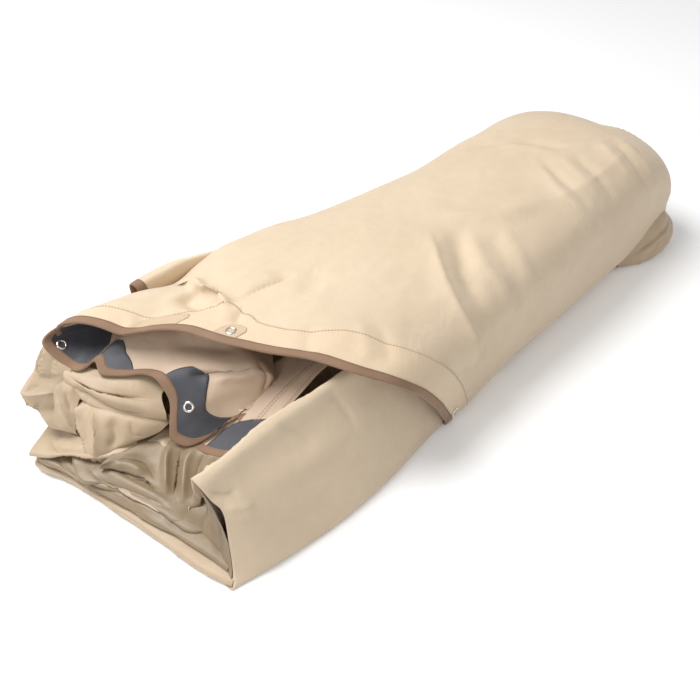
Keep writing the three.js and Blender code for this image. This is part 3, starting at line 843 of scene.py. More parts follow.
# %% The inner turn
INNER_TURN_ROWS = [
    [
        (-405, 188, 152), (-425, 188, 140), (-418, 157, 116), (-411, 139, 115), (-393, 132, 123), (-399, 113, 118),
        (-386, 93, 118), (-365, 71, 120), (-359, 50, 113), (-361, 33, 95), (-376, 20, 72), (-381, 11, 59),
        (-372, -6, 54), (-355, -15, 57), (-322, -24, 70), (-311, -30, 72), (-320, -41, 64),
    ],
    [
        (-368, 178, 147), (-372, 185, 132), (-366, 166, 122), (-358, 143, 128), (-358, 128, 136), (-352, 108, 131),
        (-345, 90, 126), (-330, 64, 120), (-330, 38, 122), (-322, 16, 117), (-325, 0, 102), (-336, -3, 84),
        (-338, -9, 72), (-328, -19, 68), (-305, -30, 76), (-297, -37, 78), (-303, -47, 70),
    ],
    [
        (-310, 160, 148), (-312, 170, 138), (-306, 158, 132), (-300, 141, 139), (-298, 118, 144), (-296, 95, 139),
        (-294, 72, 130), (-288, 42, 124), (-296, 4, 124), (-290, -12, 116), (-288, -21, 103), (-294, -24, 90),
        (-300, -27, 82), (-302, -30, 78), (-288, -38, 84), (-282, -43, 84), (-287, -52, 76),
    ],
    [
        (-250, 146, 150), (-250, 156, 142), (-250, 148, 138), (-250, 136, 142), (-250, 110, 144), (-250, 85, 140),
        (-250, 60, 132), (-254, 20, 124), (-263, -28, 121), (-260, -37, 112), (-264, -38, 101), (-272, -36, 90),
        (-276, -36, 84), (-278, -38, 82), (-268, -44, 86), (-262, -48, 86), (-266, -56, 78),
    ],
    [
        (-190, 138, 142), (-190, 146, 134), (-190, 138, 128), (-190, 126, 128), (-190, 100, 128), (-190, 75, 122),
        (-195, 45, 112), (-215, 8, 100), (-238, -20, 96), (-244, -28, 92), (-250, -30, 86), (-256, -30, 82),
        (-258, -32, 80), (-258, -36, 80), (-250, -44, 84), (-246, -48, 84), (-250, -56, 78),
    ],
]
inner_grid = grid_through(INNER_TURN_ROWS, 90, 210)
inner_grid = soft_unevenness(inner_grid, 60, 2.0, seed=11)
INNER_CREASES = {
    "valley above the roll": (
        "sharp", 7, -9.0, 0.25,
        [(-332, 32, 120), (-311, 15, 121), (-300, 5, 122), (-283, -11, 124), (-268, -22, 123)],
    ),
    "edge of the roll": (
        "round", 7, 3.5, 0.3,
        [(-318, 3, 118), (-302, -5, 119), (-287, -19, 118), (-274, -29, 114)],
    ),
    "pull from the hump": (
        "round", 9, -4.5, 0.3,
        [(-322, 84, 130), (-300, 66, 129), (-278, 40, 127), (-262, 8, 124)],
    ),
    "small fold": ("sharp", 5, 3.0, 0.3, [(-300, 92, 138), (-284, 70, 132), (-270, 44, 127)]),
    "end of the roll": (
        "sharp", 5, -6.0, 0.25,
        [(-262, -16, 122), (-262, -34, 116), (-268, -40, 102), (-276, -38, 90)],
    ),
}
inner_flip = bool(normals_of(inner_grid)[10, 90, 2] < 0)
inner_grid = creased(inner_grid, INNER_CREASES, inner_flip)
inner_turn = Cloth(inner_grid, inner_flip)
inner_piece = cloth_piece("inner_turn_cloth", inner_turn, [INNER, OUTER])
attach(inner_piece, "root")
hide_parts("inner_turn")

# %% [markdown]
# ## The deep layer
# Between the inner turn and the front fold lies a deeper strip of the sheet, with its own bound
# edge, a dark patch at its corner and a taped seam running up under the hem.

# %% The deep layer
DEEP_ROWS = [
    [(-374, 12, 48), (-367, -18, 51), (-358, -46, 53), (-346, -62, 58), (-336, -80, 68)],
    [(-342, 8, 54), (-337, -20, 58), (-326, -46, 64), (-317, -66, 72), (-306, -84, 84)],
    [(-300, 0, 68), (-300, -26, 76), (-294, -52, 86), (-284, -70, 93), (-274, -84, 101)],
    [(-250, -6, 88), (-252, -32, 96), (-248, -58, 108), (-238, -74, 115), (-228, -86, 122)],
    [(-170, -20, 98), (-170, -45, 108), (-168, -65, 120), (-165, -80, 128), (-160, -92, 134)],
]
deep_grid = soft_unevenness(grid_through(DEEP_ROWS, 60, 50), 45, 1.5, seed=5)
deep_layer = Cloth(deep_grid)
if deep_layer.normals[10, 20, 2] < 0:
    deep_layer = Cloth(deep_grid, flip=True)
deep_piece = cloth_piece("deep_layer_cloth", deep_layer, [INNER, OUTER])
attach(deep_piece, "root")
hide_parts("deep_layer")

# %% [markdown]
# ## The front fold
# The tall smooth panel at the front is the sheet coming up off the floor, folding over at the top and
# going back down inside. It is one surface whose section is a bent strap: up the front, over a
# soft edge, down the back.

# %% The front fold
# top edge of the fold and its foot, station by station: top x, y, z, foot x, y
FRONT_STATIONS = [
    (-438, -104, 128, -453, -164),
    (-398, -110, 134, -408, -177),
    (-346, -112, 138, -340, -187),
    (-287, -116, 141, -285, -192),
    (-226, -121, 143, -226, -193),
    (-163, -128, 142, -160, -190),
    (-90, -128, 142, -90, -184),
    (40, -124, 142, 40, -180),
]
NEAR_EDGE = [
    (-416, -74, 50), (-430, -88, 90), (-436, -97, 118), (-438, -101, 128), (-438, -109, 125), (-434, -124, 108),
    (-429, -136, 92), (-434, -146, 54), (-444, -159, 14), (-453, -166, 3), (-451, -136, 2),
]


def front_row(top_x, top_y, top_z, foot_x, foot_y):
    """One section of the front fold, from inside, over the top and down to the floor."""
    def down(share, bulge):
        return (
            top_x + (foot_x - top_x) * share,
            top_y + (foot_y - top_y) * share - bulge,
            top_z + (3 - top_z) * share,
        )

    inside = [(top_x + 18, top_y + 24, 50), (top_x + 8, top_y + 16, top_z - 42), (top_x + 2, top_y + 8, top_z - 11)]
    over = [(top_x, top_y + 3, top_z), (top_x, top_y - 4, top_z - 2)]
    outside = [down(0.16, 4), down(0.4, 9), down(0.68, 9), down(0.9, 5)]
    return inside + over + outside + [(foot_x, foot_y, 3), (foot_x + 2, foot_y + 30, 2)]


front_rows = [NEAR_EDGE] + [front_row(*station) for station in FRONT_STATIONS[1:]]
front_grid = grid_through(front_rows, 120, 110)
FRONT_CREASES = {
    "near tuck": ("sharp", 6, -5.0, 0.35, [(-432, -118, 118), (-416, -128, 104), (-398, -132, 98)]),
    "near fold": ("round", 8, 4.0, 0.35, [(-428, -134, 96), (-410, -142, 84), (-392, -146, 76)]),
    "long soft fold": ("round", 22, 4.0, 0.4, [(-400, -130, 100), (-330, -150, 84), (-250, -160, 80)]),
    "long soft dip": ("round", 20, -4.0, 0.4, [(-420, -152, 50), (-340, -170, 44), (-260, -178, 50)]),
    "top crease 1": ("sharp", 6, -3.0, 0.35, [(-330, -112, 138), (-306, -134, 116), (-292, -150, 88)]),
    "top crease 2": ("sharp", 6, -2.6, 0.35, [(-250, -118, 141), (-240, -142, 112), (-238, -158, 80)]),
}
front_flip = bool(normals_of(front_grid)[60, 60, 1] > 0)
front_grid = soft_unevenness(front_grid, 110, 2.5, seed=21, flip=front_flip)
front_grid = creased(front_grid, FRONT_CREASES, front_flip)
front_fold = Cloth(front_grid, front_flip)
front_piece = cloth_piece("front_fold_cloth", front_fold, [OUTER, INNER])
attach(front_piece, "root")
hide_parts("front_fold")

# %% [markdown]
# ## The gathered folds at the open end
# Under the inner turn the sheet is crumpled into soft lobes, and below them lie the flat folds of
# the stack. Each fold is drawn as one bent surface: its upper side, its rounded lip and its
# under side.

# %% Lobes and lips
def along_grid(grid, places):
    """Points of a grid, from shares across it and along it."""
    rows, columns = grid.shape[0] - 1, grid.shape[1] - 1
    return [grid[int(round(r * rows)), int(round(c * columns))] for r, c in places]


def fold_piece(name, rows, across, along, seed, toward, uneven=(40, 2.0, 0.3), creases=(), finish=None):
    """One gathered fold through guide rows, with its outer side towards a given direction."""
    plain = grid_through(rows, across, along)
    flip = bool((normals_of(plain).mean(axis=(0, 1)) @ np.asarray(toward, float)) < 0)
    grid = soft_unevenness(plain, uneven[0], uneven[1], seed, uneven[2], flip=flip)
    grid = soft_unevenness(grid, uneven[0] * 0.5, uneven[1] * 0.14, seed + 100, 0.8, flip=flip)
    for kind, width, height, places in creases:
        grid = crease(grid, along_grid(plain, places), width, height, kind, 0.3, flip)
    # without a finish of its own, a fold wears the tan cloth with painted shade
    piece = cloth_piece(name, Cloth(grid, flip), [finish or FOLD_PAINTED_SHADE, INNER])
    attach(piece, "root")
    return piece


def lip_rows(line, reach, thick, tuck=0.0):
    """A folded lip along a line: the upper side comes out to the line, rounds over and goes back."""
    line = np.asarray(line, float)
    way = np.gradient(line, axis=0)
    inward = np.stack([-way[:, 1], way[:, 0], np.zeros(len(line))], axis=1)
    inward /= np.linalg.norm(inward, axis=1, keepdims=True)
    inward *= np.sign((inward * np.array([1.0, 0, 0])).sum(axis=1, keepdims=True))
    up = np.array([0, 0, 1.0])
    share = np.linspace(0, 1, len(line))
    ends = 1 - np.clip(np.minimum(share, 1 - share) / 0.16, 0, 1)
    line = line + inward * (tuck * ends**2)[:, None]
    thick = thick * (1 - 0.8 * ends * (tuck > 0))[:, None]
    half = thick / 2
    return [
        line + inward * reach + up * half,
        line + inward * reach * 0.45 + up * half,
        line + inward * thick * 0.9 + up * half * 0.95,
        line + inward * thick * 0.18 + up * half * 0.6,
        line,
        line + inward * thick * 0.18 - up * half * 0.6,
        line + inward * thick * 0.9 - up * half * 0.95,
        line + inward * reach * 0.45 - up * half,
        line + inward * reach - up * half,
    ]


lobe_upper = fold_piece(
    "crumpled_lobe_upper",
    [
        [(-400, 160, 114), (-395, 130, 112), (-380, 104, 114), (-356, 76, 112), (-340, 52, 100)],
        [(-424, 156, 112), (-416, 128, 111), (-400, 104, 111), (-376, 73, 109), (-360, 49, 97)],
        [(-430, 146, 101), (-421, 108, 101), (-404, 74, 99), (-386, 47, 93), (-371, 31, 83)],
        [(-428, 142, 91), (-424, 112, 84), (-412, 80, 80), (-391, 50, 76), (-371, 31, 72)],
        [(-400, 140, 84), (-400, 112, 78), (-392, 82, 72), (-375, 54, 68), (-355, 38, 66)],
    ],
    64, 100, 31, (-1, -0.3, 0.6), (38, 1.6, 0.25),
    [
        ("sharp", 5, -8.0, [(0.28, 0.0), (0.40, 0.3), (0.42, 0.62), (0.36, 1.0)]),
        ("round", 6, 3.0, [(0.36, 0.05), (0.50, 0.4), (0.52, 0.85)]),
        ("sharp", 4, -6.0, [(0.50, 0.0), (0.60, 0.25), (0.66, 0.55), (0.60, 0.9)]),
        ("round", 5, 2.5, [(0.66, 0.05), (0.72, 0.4), (0.74, 0.75)]),
        ("sharp", 3, -2.5, [(0.42, 0.12), (0.62, 0.2), (0.78, 0.22)]),
    ],
)
fold_piece(
    "crumpled_lobe_lower",
    [
        [(-408, 126, 84), (-400, 108, 82), (-392, 78, 80), (-376, 48, 74), (-355, 30, 66)],
        [(-438, 123, 82), (-424, 108, 85), (-414, 76, 84), (-396, 44, 77), (-372, 29, 68)],
        [(-444, 117, 74), (-440, 98, 70), (-432, 72, 68), (-412, 47, 64), (-384, 32, 62)],
        [(-443, 114, 66), (-450, 95, 52), (-456, 74, 40), (-428, 56, 50), (-400, 41, 57)],
        [(-420, 112, 56), (-424, 92, 46), (-428, 74, 38), (-408, 58, 42), (-385, 44, 48)],
    ],
    64, 100, 32, (-1, -0.3, 0.5), (36, 1.4, 0.25),
    [
        ("sharp", 6, 9.0, [(0.24, 0.2), (0.5, 0.34), (0.76, 0.48)]),
        ("round", 7, -6.0, [(0.3, 0.42), (0.5, 0.56), (0.68, 0.62)]),
        ("sharp", 4, -3.0, [(0.26, 0.6), (0.46, 0.74), (0.6, 0.96)]),
        ("round", 5, -3.0, [(0.3, 0.02), (0.55, 0.12), (0.74, 0.3)]),
    ],
)
fold_piece(
    "crumpled_lobe_side",
    [
        [(-420, 150, 106), (-420, 138, 100), (-415, 128, 90)],
        [(-444, 150, 102), (-438, 136, 96), (-430, 124, 88)],
        [(-452, 144, 84), (-448, 130, 78), (-440, 119, 74)],
        [(-463, 138, 58), (-457, 126, 54), (-449, 114, 50)],
        [(-440, 136, 48), (-436, 124, 46), (-430, 112, 44)],
    ],
    40, 44, 33, (-1, -0.3, 0.3), (22, 1.8, 0.5),
    [("sharp", 4, 3.5, [(0.3, 0.1), (0.5, 0.5), (0.7, 0.9)]), ("sharp", 3, -3.0, [(0.2, 0.4), (0.45, 0.8)])],
)
# the nearest lobe comes out under the curl of the inner turn
fold_piece(
    "crumpled_lobe_front",
    [
        [(-362, 40, 52), (-352, 14, 48), (-338, -8, 44), (-322, -22, 42)],
        [(-388, 40, 51), (-376, 12, 47), (-360, -10, 43), (-338, -26, 42)],
        [(-402, 42, 47), (-390, 14, 43), (-372, -12, 40), (-348, -30, 40)],
        [(-392, 46, 38), (-384, 18, 36), (-366, -6, 34), (-344, -24, 34)],
    ],
    40, 60, 35, (-1, -0.3, 0.5), (24, 2.2, 0.5),
    [
        ("sharp", 4, -4.0, [(0.2, 0.1), (0.45, 0.35), (0.5, 0.7), (0.4, 0.95)]),
        ("round", 5, 3.0, [(0.35, 0.05), (0.62, 0.3), (0.66, 0.75)]),
    ],
)
rear_tip = fold_piece(
    "rear_fold_tip",
    [
        [(-330, 186, 132), (-345, 194, 112), (-350, 194, 88), (-346, 192, 64), (-340, 182, 46)],
        [(-398, 190, 136), (-412, 200, 112), (-424, 200, 88), (-426, 194, 66), (-420, 184, 48)],
        [(-424, 186, 137), (-446, 186, 112), (-470, 181, 88), (-470, 167, 72), (-466, 152, 56)],
        [(-421, 168, 122), (-433, 163, 104), (-448, 163, 88), (-453, 150, 70), (-461, 138, 50)],
        [(-415, 150, 114), (-420, 146, 100), (-427, 146, 87), (-438, 136, 70), (-448, 124, 48)],
        [(-392, 148, 112), (-395, 142, 98), (-400, 138, 84), (-408, 130, 68), (-415, 118, 48)],
    ],
    80, 80, 34, (-1, 0.8, 0.5), (40, 2.0, 0.4),
    [
        ("sharp", 5, 5.0, [(0.42, 0.5), (0.56, 0.5), (0.78, 0.5)]),
        ("round", 9, -4.0, [(0.44, 0.26), (0.6, 0.3), (0.76, 0.32)]),
        ("round", 9, -4.5, [(0.5, 0.72), (0.62, 0.74), (0.78, 0.76)]),
        ("sharp", 5, -3.5, [(0.08, 0.3), (0.2, 0.45), (0.3, 0.75)]),
        ("round", 8, 3.5, [(0.02, 0.5), (0.15, 0.6), (0.28, 0.9)]),
    ],
)

# %% [markdown]
# ## The stack and the draped layer
# Below the lobes the sheet lies in flat folds, one on another, and each fold's lip runs in a loose
# wave across the open end. A limper layer hangs over them from the middle, in upright pleats that
# end in a rolled lower edge.

# %% The flat folds of the stack
# name: (line of the lip, reach inwards, thickness, creases)
STACK_LIPS = {
    "stack_fold_1": (
        [
            (-470, 166, 9), (-497, 149, 9), (-489, 107, 8), (-481, 57, 7), (-473, -12, 7),
            (-466, -76, 7), (-460, -131, 6), (-451, -164, 5),
        ],
        70, 10,
        [("sharp", 4, -3.0, [(0.44, 0.05), (0.5, 0.3), (0.46, 0.55), (0.52, 0.8)])],
    ),
    "stack_fold_2": (
        [
            (-466, 162, 21), (-494, 146, 22), (-486, 104, 20), (-478, 56, 18), (-466, -6, 17),
            (-455, -64, 16), (-447, -117, 15), (-444, -150, 12),
        ],
        70, 9,
        [
            ("sharp", 4, -3.5, [(0.36, 0.02), (0.42, 0.2), (0.5, 0.4), (0.44, 0.7)]),
            ("round", 5, 2.5, [(0.3, 0.2), (0.38, 0.45), (0.34, 0.75)]),
        ],
    ),
    "stack_fold_3": (
        [
            (-440, 150, 34), (-482, 62, 28), (-468, 42, 29), (-456, -4, 27), (-447, -47, 24),
            (-440, -74, 23), (-426, -84, 24),
        ],
        44, 8,
        [
            ("sharp", 4, -4.0, [(0.3, 0.3), (0.42, 0.42), (0.4, 0.62), (0.34, 0.85)]),
            ("round", 6, 3.0, [(0.2, 0.3), (0.3, 0.5), (0.28, 0.8)]),
            ("sharp", 3, -2.5, [(0.5, 0.35), (0.54, 0.6), (0.5, 0.85)]),
        ],
    ),
    "stack_fold_4": (
        [(-500, 150, 27), (-486, 122, 32), (-471, 102, 38), (-457, 73, 42), (-434, 50, 46), (-410, 43, 48)],
        60, 8,
        [
            ("sharp", 4, -4.0, [(0.2, 0.1), (0.36, 0.25), (0.42, 0.5), (0.36, 0.9)]),
            ("sharp", 4, 3.5, [(0.1, 0.2), (0.24, 0.4), (0.3, 0.75)]),
        ],
    ),
    "stack_fold_5": (
        [(-452, 70, 34), (-474, 56, 27), (-462, 22, 25), (-452, -24, 24), (-444, -70, 22), (-440, -110, 22)],
        60, 7,
        [("sharp", 3, -2.5, [(0.4, 0.2), (0.5, 0.5), (0.44, 0.8)])],
    ),
}
stack_pieces = {}
for order, (name, (line, reach, thick, creases)) in enumerate(STACK_LIPS.items()):
    rows = lip_rows(smooth_through(line, 20), reach, thick, tuck=34.0 if order in (2, 4) else 0.0)
    # the first and fourth folds wear the tan cloth with painted shade, the others the darker painted shade of the deep
    # recesses
    finish = FOLD_PAINTED_SHADE if order in (0, 3) else DEEP_PAINTED_SHADE
    stack_pieces[name] = fold_piece(
        name + "_cloth", rows, 72, 170, 40 + order, (-1, 0, 0.2), (45, 2.2, 0.4), creases, finish
    )

# %% The upright pleats of the draped layer
# the drape wears the darker painted shade of the deep recesses
drape = fold_piece(
    "draped_layer",
    [
        [(-400, 60, 44), (-378, 50, 43), (-352, 38, 42), (-336, 12, 42), (-326, -18, 43), (-322, -52, 45)],
        [(-430, 58, 48), (-404, 47, 49), (-380, 37, 47), (-362, 14, 47), (-350, -16, 48), (-340, -52, 51)],
        [(-457, 54, 48), (-428, 43, 51), (-402, 33, 50), (-384, 14, 50), (-369, -14, 51), (-358, -51, 53)],
        [(-459, 55, 44), (-434, 36, 46), (-413, 15, 44), (-399, -5, 43), (-388, -28, 44), (-388, -60, 47)],
        [(-458, 58, 39), (-436, 26, 37), (-430, -13, 31), (-431, -36, 26), (-424, -56, 24), (-409, -67, 26)],
        [(-440, 60, 36), (-418, 30, 30), (-410, -10, 24), (-410, -34, 20), (-404, -54, 20), (-392, -66, 22)],
    ],
    90, 120, 52, (-0.5, 0, 1), (36, 1.6, 0.3),
    [
        ("sharp", 5, -6.0, [(0.40, 0.04), (0.50, 0.20), (0.60, 0.36), (0.74, 0.46)]),
        ("round", 6, 4.0, [(0.56, 0.06), (0.64, 0.22), (0.72, 0.36)]),
        ("round", 6, 6.0, [(0.34, 0.60), (0.52, 0.57), (0.68, 0.56), (0.80, 0.56)]),
        ("sharp", 5, -7.0, [(0.32, 0.69), (0.52, 0.67), (0.68, 0.66), (0.80, 0.66)]),
        ("round", 6, 6.0, [(0.34, 0.78), (0.52, 0.76), (0.68, 0.76), (0.80, 0.77)]),
        ("sharp", 5, -7.0, [(0.34, 0.88), (0.52, 0.86), (0.70, 0.86), (0.80, 0.88)]),
        ("round", 5, 4.0, [(0.40, 0.96), (0.60, 0.95), (0.76, 0.96)]),
    ],
    DEEP_PAINTED_SHADE,
)

# %% The end of the front fold, turned in
# the turned-in end wears the darker painted shade
fold_piece(
    "front_fold_end",
    [
        [(-438, -103, 127), (-428, -97, 120), (-418, -88, 108), (-408, -78, 96)],
        [(-437, -124, 106), (-428, -110, 98), (-418, -94, 84), (-408, -80, 76)],
        [(-434, -143, 56), (-430, -126, 50), (-424, -106, 44), (-416, -86, 42)],
        [(-442, -156, 18), (-438, -138, 18), (-434, -116, 20), (-430, -92, 24)],
        [(-450, -162, 5), (-446, -142, 6), (-442, -118, 8), (-438, -92, 12)],
    ],
    70, 50, 51, (-1, 0.2, 0.2), (30, 2.0, 0.4),
    [
        ("sharp", 5, -7.0, [(0.08, 0.2), (0.4, 0.34), (0.7, 0.4), (0.95, 0.42)]),
        ("round", 5, 4.0, [(0.05, 0.45), (0.4, 0.6), (0.75, 0.66)]),
        ("sharp", 4, -4.0, [(0.15, 0.75), (0.5, 0.82), (0.8, 0.86)]),
    ],
    DEEP_PAINTED_SHADE,
)

# %% [markdown]
# ## The roll inside
# Behind the folds lies the body of the roll. Only its end shows, far back in the mouth, in the darker painted shade.
# The turns inside aren't made one by one: a single crumpled surface closes the view between the inner
# turn and the front fold.

# %% The end of the roll inside
# the end of the roll wears the darker painted shade
core = fold_piece(
    "inner_roll_cloth",
    [
        [(-60, 104, 150), (-60, 40, 168), (-60, -60, 166), (-60, -112, 146)],
        [(-120, 114, 138), (-124, 40, 154), (-130, -60, 150), (-120, -112, 130)],
        [(-142, 122, 104), (-156, 40, 116), (-156, -50, 112), (-140, -108, 92)],
        [(-150, 128, 64), (-160, 40, 68), (-160, -50, 62), (-148, -108, 52)],
        [(-190, 126, 28), (-200, 40, 26), (-200, -50, 26), (-190, -106, 26)],
        [(-280, 126, 16), (-290, 40, 15), (-290, -50, 15), (-280, -106, 15)],
        [(-384, 126, 13), (-388, 40, 13), (-388, -50, 13), (-384, -104, 13)],
    ],
    60, 60, 81, (-1, 0, 0.3), (60, 5.0, 0.4), (), DEEP_PAINTED_SHADE,
)
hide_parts("centre_roll")

# %% [markdown]
# ## The far end
# The last turn of the sheet is tucked under at the closed end. It shows as a low soft bulge on
# the floor, with creases that run round it.

# %% Far end tuck
# the tuck wears the tan cloth with painted shade
far_tuck = fold_piece(
    "far_end_tuck_cloth",
    [
        [
            (356, -168, 24), (385, -180, 40), (420, -182, 54), (455, -180, 62), (484, -162, 66),
            (498, -120, 62),
        ],
        [
            (358, -178, 12), (390, -194, 28), (424, -200, 41), (458, -204, 48), (490, -194, 50),
            (508, -144, 48),
        ],
        [(362, -183, 8), (394, -204, 16), (428, -213, 26), (462, -215, 31), (496, -202, 33), (512, -150, 32)],
        [(366, -181, 2), (400, -204, 3), (436, -214, 5), (468, -213, 8), (500, -197, 12), (512, -146, 14)],
        [(372, -160, 1.5), (406, -172, 2), (440, -178, 2), (468, -172, 4), (490, -158, 8), (496, -130, 12)],
    ],
    60, 110, 71, (0.2, -1, 0.2), (40, 2.4, 0.5),
    [
        ("sharp", 4, -4.0, [(0.32, 0.1), (0.36, 0.35), (0.34, 0.6), (0.3, 0.85)]),
        ("sharp", 4, -3.5, [(0.5, 0.2), (0.46, 0.45), (0.42, 0.65), (0.3, 0.8)]),
        ("round", 6, 3.0, [(0.4, 0.15), (0.42, 0.4), (0.38, 0.7)]),
        ("round", 5, 2.5, [(0.58, 0.2), (0.56, 0.5), (0.5, 0.8)]),
    ],
)
for piece, nodes in {
    lobe_upper: ["crumpled_fold"],
    rear_tip: ["rear_fold"],
    stack_pieces["stack_fold_1"]: ["folded_layer_1"],
    stack_pieces["stack_fold_2"]: ["folded_layer_2"],
    stack_pieces["stack_fold_3"]: ["folded_layer_3"],
    stack_pieces["stack_fold_4"]: ["folded_layer_4"],
    drape: ["inner_roll"],
    far_tuck: ["far_end_tuck"],
}.items():
    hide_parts(*nodes)

# %% [markdown]
# ## Tape over an edge
# Binding is a woven tape folded over the raw edge and sewn through. Its section is a flattened
# U: along the upper side, round the edge, back along the lower side. The maker below sweeps that
# section along the edge of any sheet, and lets its width wander by a fraction of a millimetre,
# as hand-fed tape does.

# %% The binding maker
def tape_section(width):
    """The folded tape's closed section: distance in from the edge and height off the cloth."""
    outer = [
        (width, 0.55), (width - 0.2, 1.1), (width * 0.75, 1.35), (width * 0.3, 1.4),
        (1.0, 1.35), (-0.6, 1.05), (-1.3, 0.0),
    ]
    inner = [(width, 0.42), (width * 0.5, 0.4), (0.6, 0.4), (-0.2, 0.0)]
    lower = [(a, -b) for a, b in outer[-2::-1]]
    back = [(a, -b) for a, b in inner[:3]] + [inner[3]] + inner[2::-1]
    return np.array(outer + lower + back)


def sweep(name, rings, material, uv_along, uv_round):
    """A tube through rings of points, closed at both ends."""
    rows, columns = rings.shape[:2]
    r, c = np.meshgrid(np.arange(rows - 1), np.arange(columns), indexing="ij")
    a = (r * columns + c).ravel()
    b = (r * columns + (c + 1) % columns).ravel()
    faces = [tuple(f) for f in np.stack([a, b, b + columns, a + columns], axis=1)]
    faces.append(tuple(range(columns))[::-1])
    faces.append(tuple((rows - 1) * columns + k for k in range(columns)))
    p = rings.reshape(-1, 3)
    quads = np.array([f for f in faces if len(f) == 4])
    q = p[quads] - p.mean(axis=0)
    volume = np.einsum("ij,ij->i", q[:, 0], np.cross(q[:, 1], q[:, 2]) + np.cross(q[:, 2], q[:, 3])).sum()
    if volume < 0:
        faces = [f[::-1] for f in faces]
    uv = np.stack(np.broadcast_arrays(uv_along[:, None], uv_round[None, :]), axis=-1).reshape(-1, 2)
    return mesh_piece(name, p, faces, [material], None, uv)


def bind_edge(name, cloth, start, stop, width=TAPE_WIDTH, step=2.2, seed=0, over=0.0):
    """Binding over the bound edge of a sheet, from one distance along it to another."""
    along = np.linspace(start, stop, max(8, int((stop - start) / step)))
    section = tape_section(width)
    rings = np.empty((len(along), len(section), 3))
    for k, s in enumerate(along):
        wander = 0.5 * noise.noise(Vector((s / 28.0, seed, 0.0)))
        pucker = 1.0 + 0.16 * noise.noise(Vector((s / 4.0, seed, 5.0)))
        inward = section[:, 0] + np.where(section[:, 0] > width * 0.6, wander, 0)
        lift = section[:, 1] * np.where(section[:, 0] > 2, pucker, 1)
        lift = lift + over * np.clip((section[:, 1] - 0.5) * 2, 0, 1)
        rings[k] = cloth.at(np.full(len(section), s), inward, lift)
    around = np.concatenate([[0], np.cumsum(np.linalg.norm(np.diff(section, axis=0), axis=1))])
    piece = sweep(name, rings, TAPE, along, around)
    print(f"{name}: {stop - start:.0f} mm of tape")
    return piece


# %% [markdown]
# ## Layers sewn on a sheet
# A hem facing or a patch is a second thin cloth that follows the first one closely, a little above
# it or below it. It is measured along the edge and in from the edge. Its far side may be
# straight or rounded, so the depth can change along it.

# %% The layer maker
def layer_on(name, cloth, spans, near, lift, materials, thickness=0.7, across=14, step=2.5):
    """A layer between two distances along the edge; spans give (along, depth) from the edge in."""
    spans = np.asarray(spans, float)
    along = np.linspace(spans[0, 0], spans[-1, 0], max(6, int((spans[-1, 0] - spans[0, 0]) / step)))
    depth = np.interp(along, spans[:, 0], spans[:, 1])
    share = np.linspace(0, 1, across)
    inward = near + (depth - near)[None, :] * share[:, None]
    grid = cloth.at(np.broadcast_to(along, inward.shape), inward, lift)
    piece = cloth_piece(name, Cloth(grid, cloth.flip), materials, thickness)
    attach(piece, "root")
    return piece


WRAP_TIP = float(outer_wrap.edge[int(hem_share[0] * (ROUND_WRAP - 1))])  # where the hem proper starts
WRAP_FLOOR = float(outer_wrap.edge[-1])
HEM_DEPTHS = [
    (0, 42), (120, 42), (190, 30), (215, 40), (258, 42), (290, 44), (320, 60), (345, 72), (380, 62), (400, 52),
    (418, 49), (440, 49), (470, 53), (501, 61), (548, 64), (600, 66), (661, 60), (738, 54), (779, 48), (WRAP_FLOOR, 44),
]


def hem_depth(along):
    """How far in from the bound edge the hem is sewn down."""
    knots = np.array(HEM_DEPTHS, float)
    return np.interp(along, knots[:, 0], knots[:, 1])


# %% The outer hem
HEM_CLOTH = cloth_finish("hem_cloth_tan", colour(222, 201, 173), colour(207, 184, 154), 0.6, 0.12)
hem_spans = [(s, hem_depth(s)) for s in np.linspace(4, WRAP_FLOOR - 1, 120)]
hem_piece = layer_on(
    "outer_hem_cloth", outer_wrap, hem_spans, 0.5, 0.95, [HEM_CLOTH, HEM_CLOTH], 0.8, 24, 3.0
)
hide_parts("outer_hem")
outer_tape = bind_edge("outer_hem_tape", outer_wrap, 2, WRAP_FLOOR - 0.5, seed=1, over=1.1)
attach(outer_tape, "root")
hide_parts("outer_hem_binding")
layer_on(
    "outer_hem_facing", outer_wrap, [(WRAP_TIP + 6, 30), (330, 40), (WRAP_FLOOR - 8, 40)],
    2, -1.0, [INNER, INNER], 0.7, 12, 4.0,
)

# %% Hem patches
# The patch cloth is the hem tan a little darker: the patches' own tone, with painted shade of the hollow round the pit
# and the eyelet.
HEM_PATCH_PAINTED_SHADE = cloth_finish("hem_patch_cloth_painted_shade", colour(208, 186, 157), colour(192, 168, 139), 0.6, 0.1)
hem_patch_1_piece = layer_on(
    "hem_patch_1_cloth", outer_wrap, [(262, 30), (270, 40), (300, 42), (316, 40), (322, 30)],
    11, 1.7, [HEM_PATCH_PAINTED_SHADE, HEM_PATCH_PAINTED_SHADE], 0.6,
)
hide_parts("hem_patch_1")
hem_patch_2_piece = layer_on(
    "hem_patch_2_cloth", outer_wrap, [(374, 26), (378, 34), (389, 37), (400, 35), (405, 27)],
    11, 1.7, [HEM_PATCH_PAINTED_SHADE, HEM_PATCH_PAINTED_SHADE], 0.6,
)
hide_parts("hem_patch_2")

# %% The inner turn's tape and patches
inner_end = float(inner_turn.edge[-1])
inner_tape = bind_edge("inner_turn_tape", inner_turn, 4, inner_end - 1, width=12.0, seed=2, over=0.6)
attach(inner_tape, "root")
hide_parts("inner_turn_binding")
PATCH_LIFT = 0.95
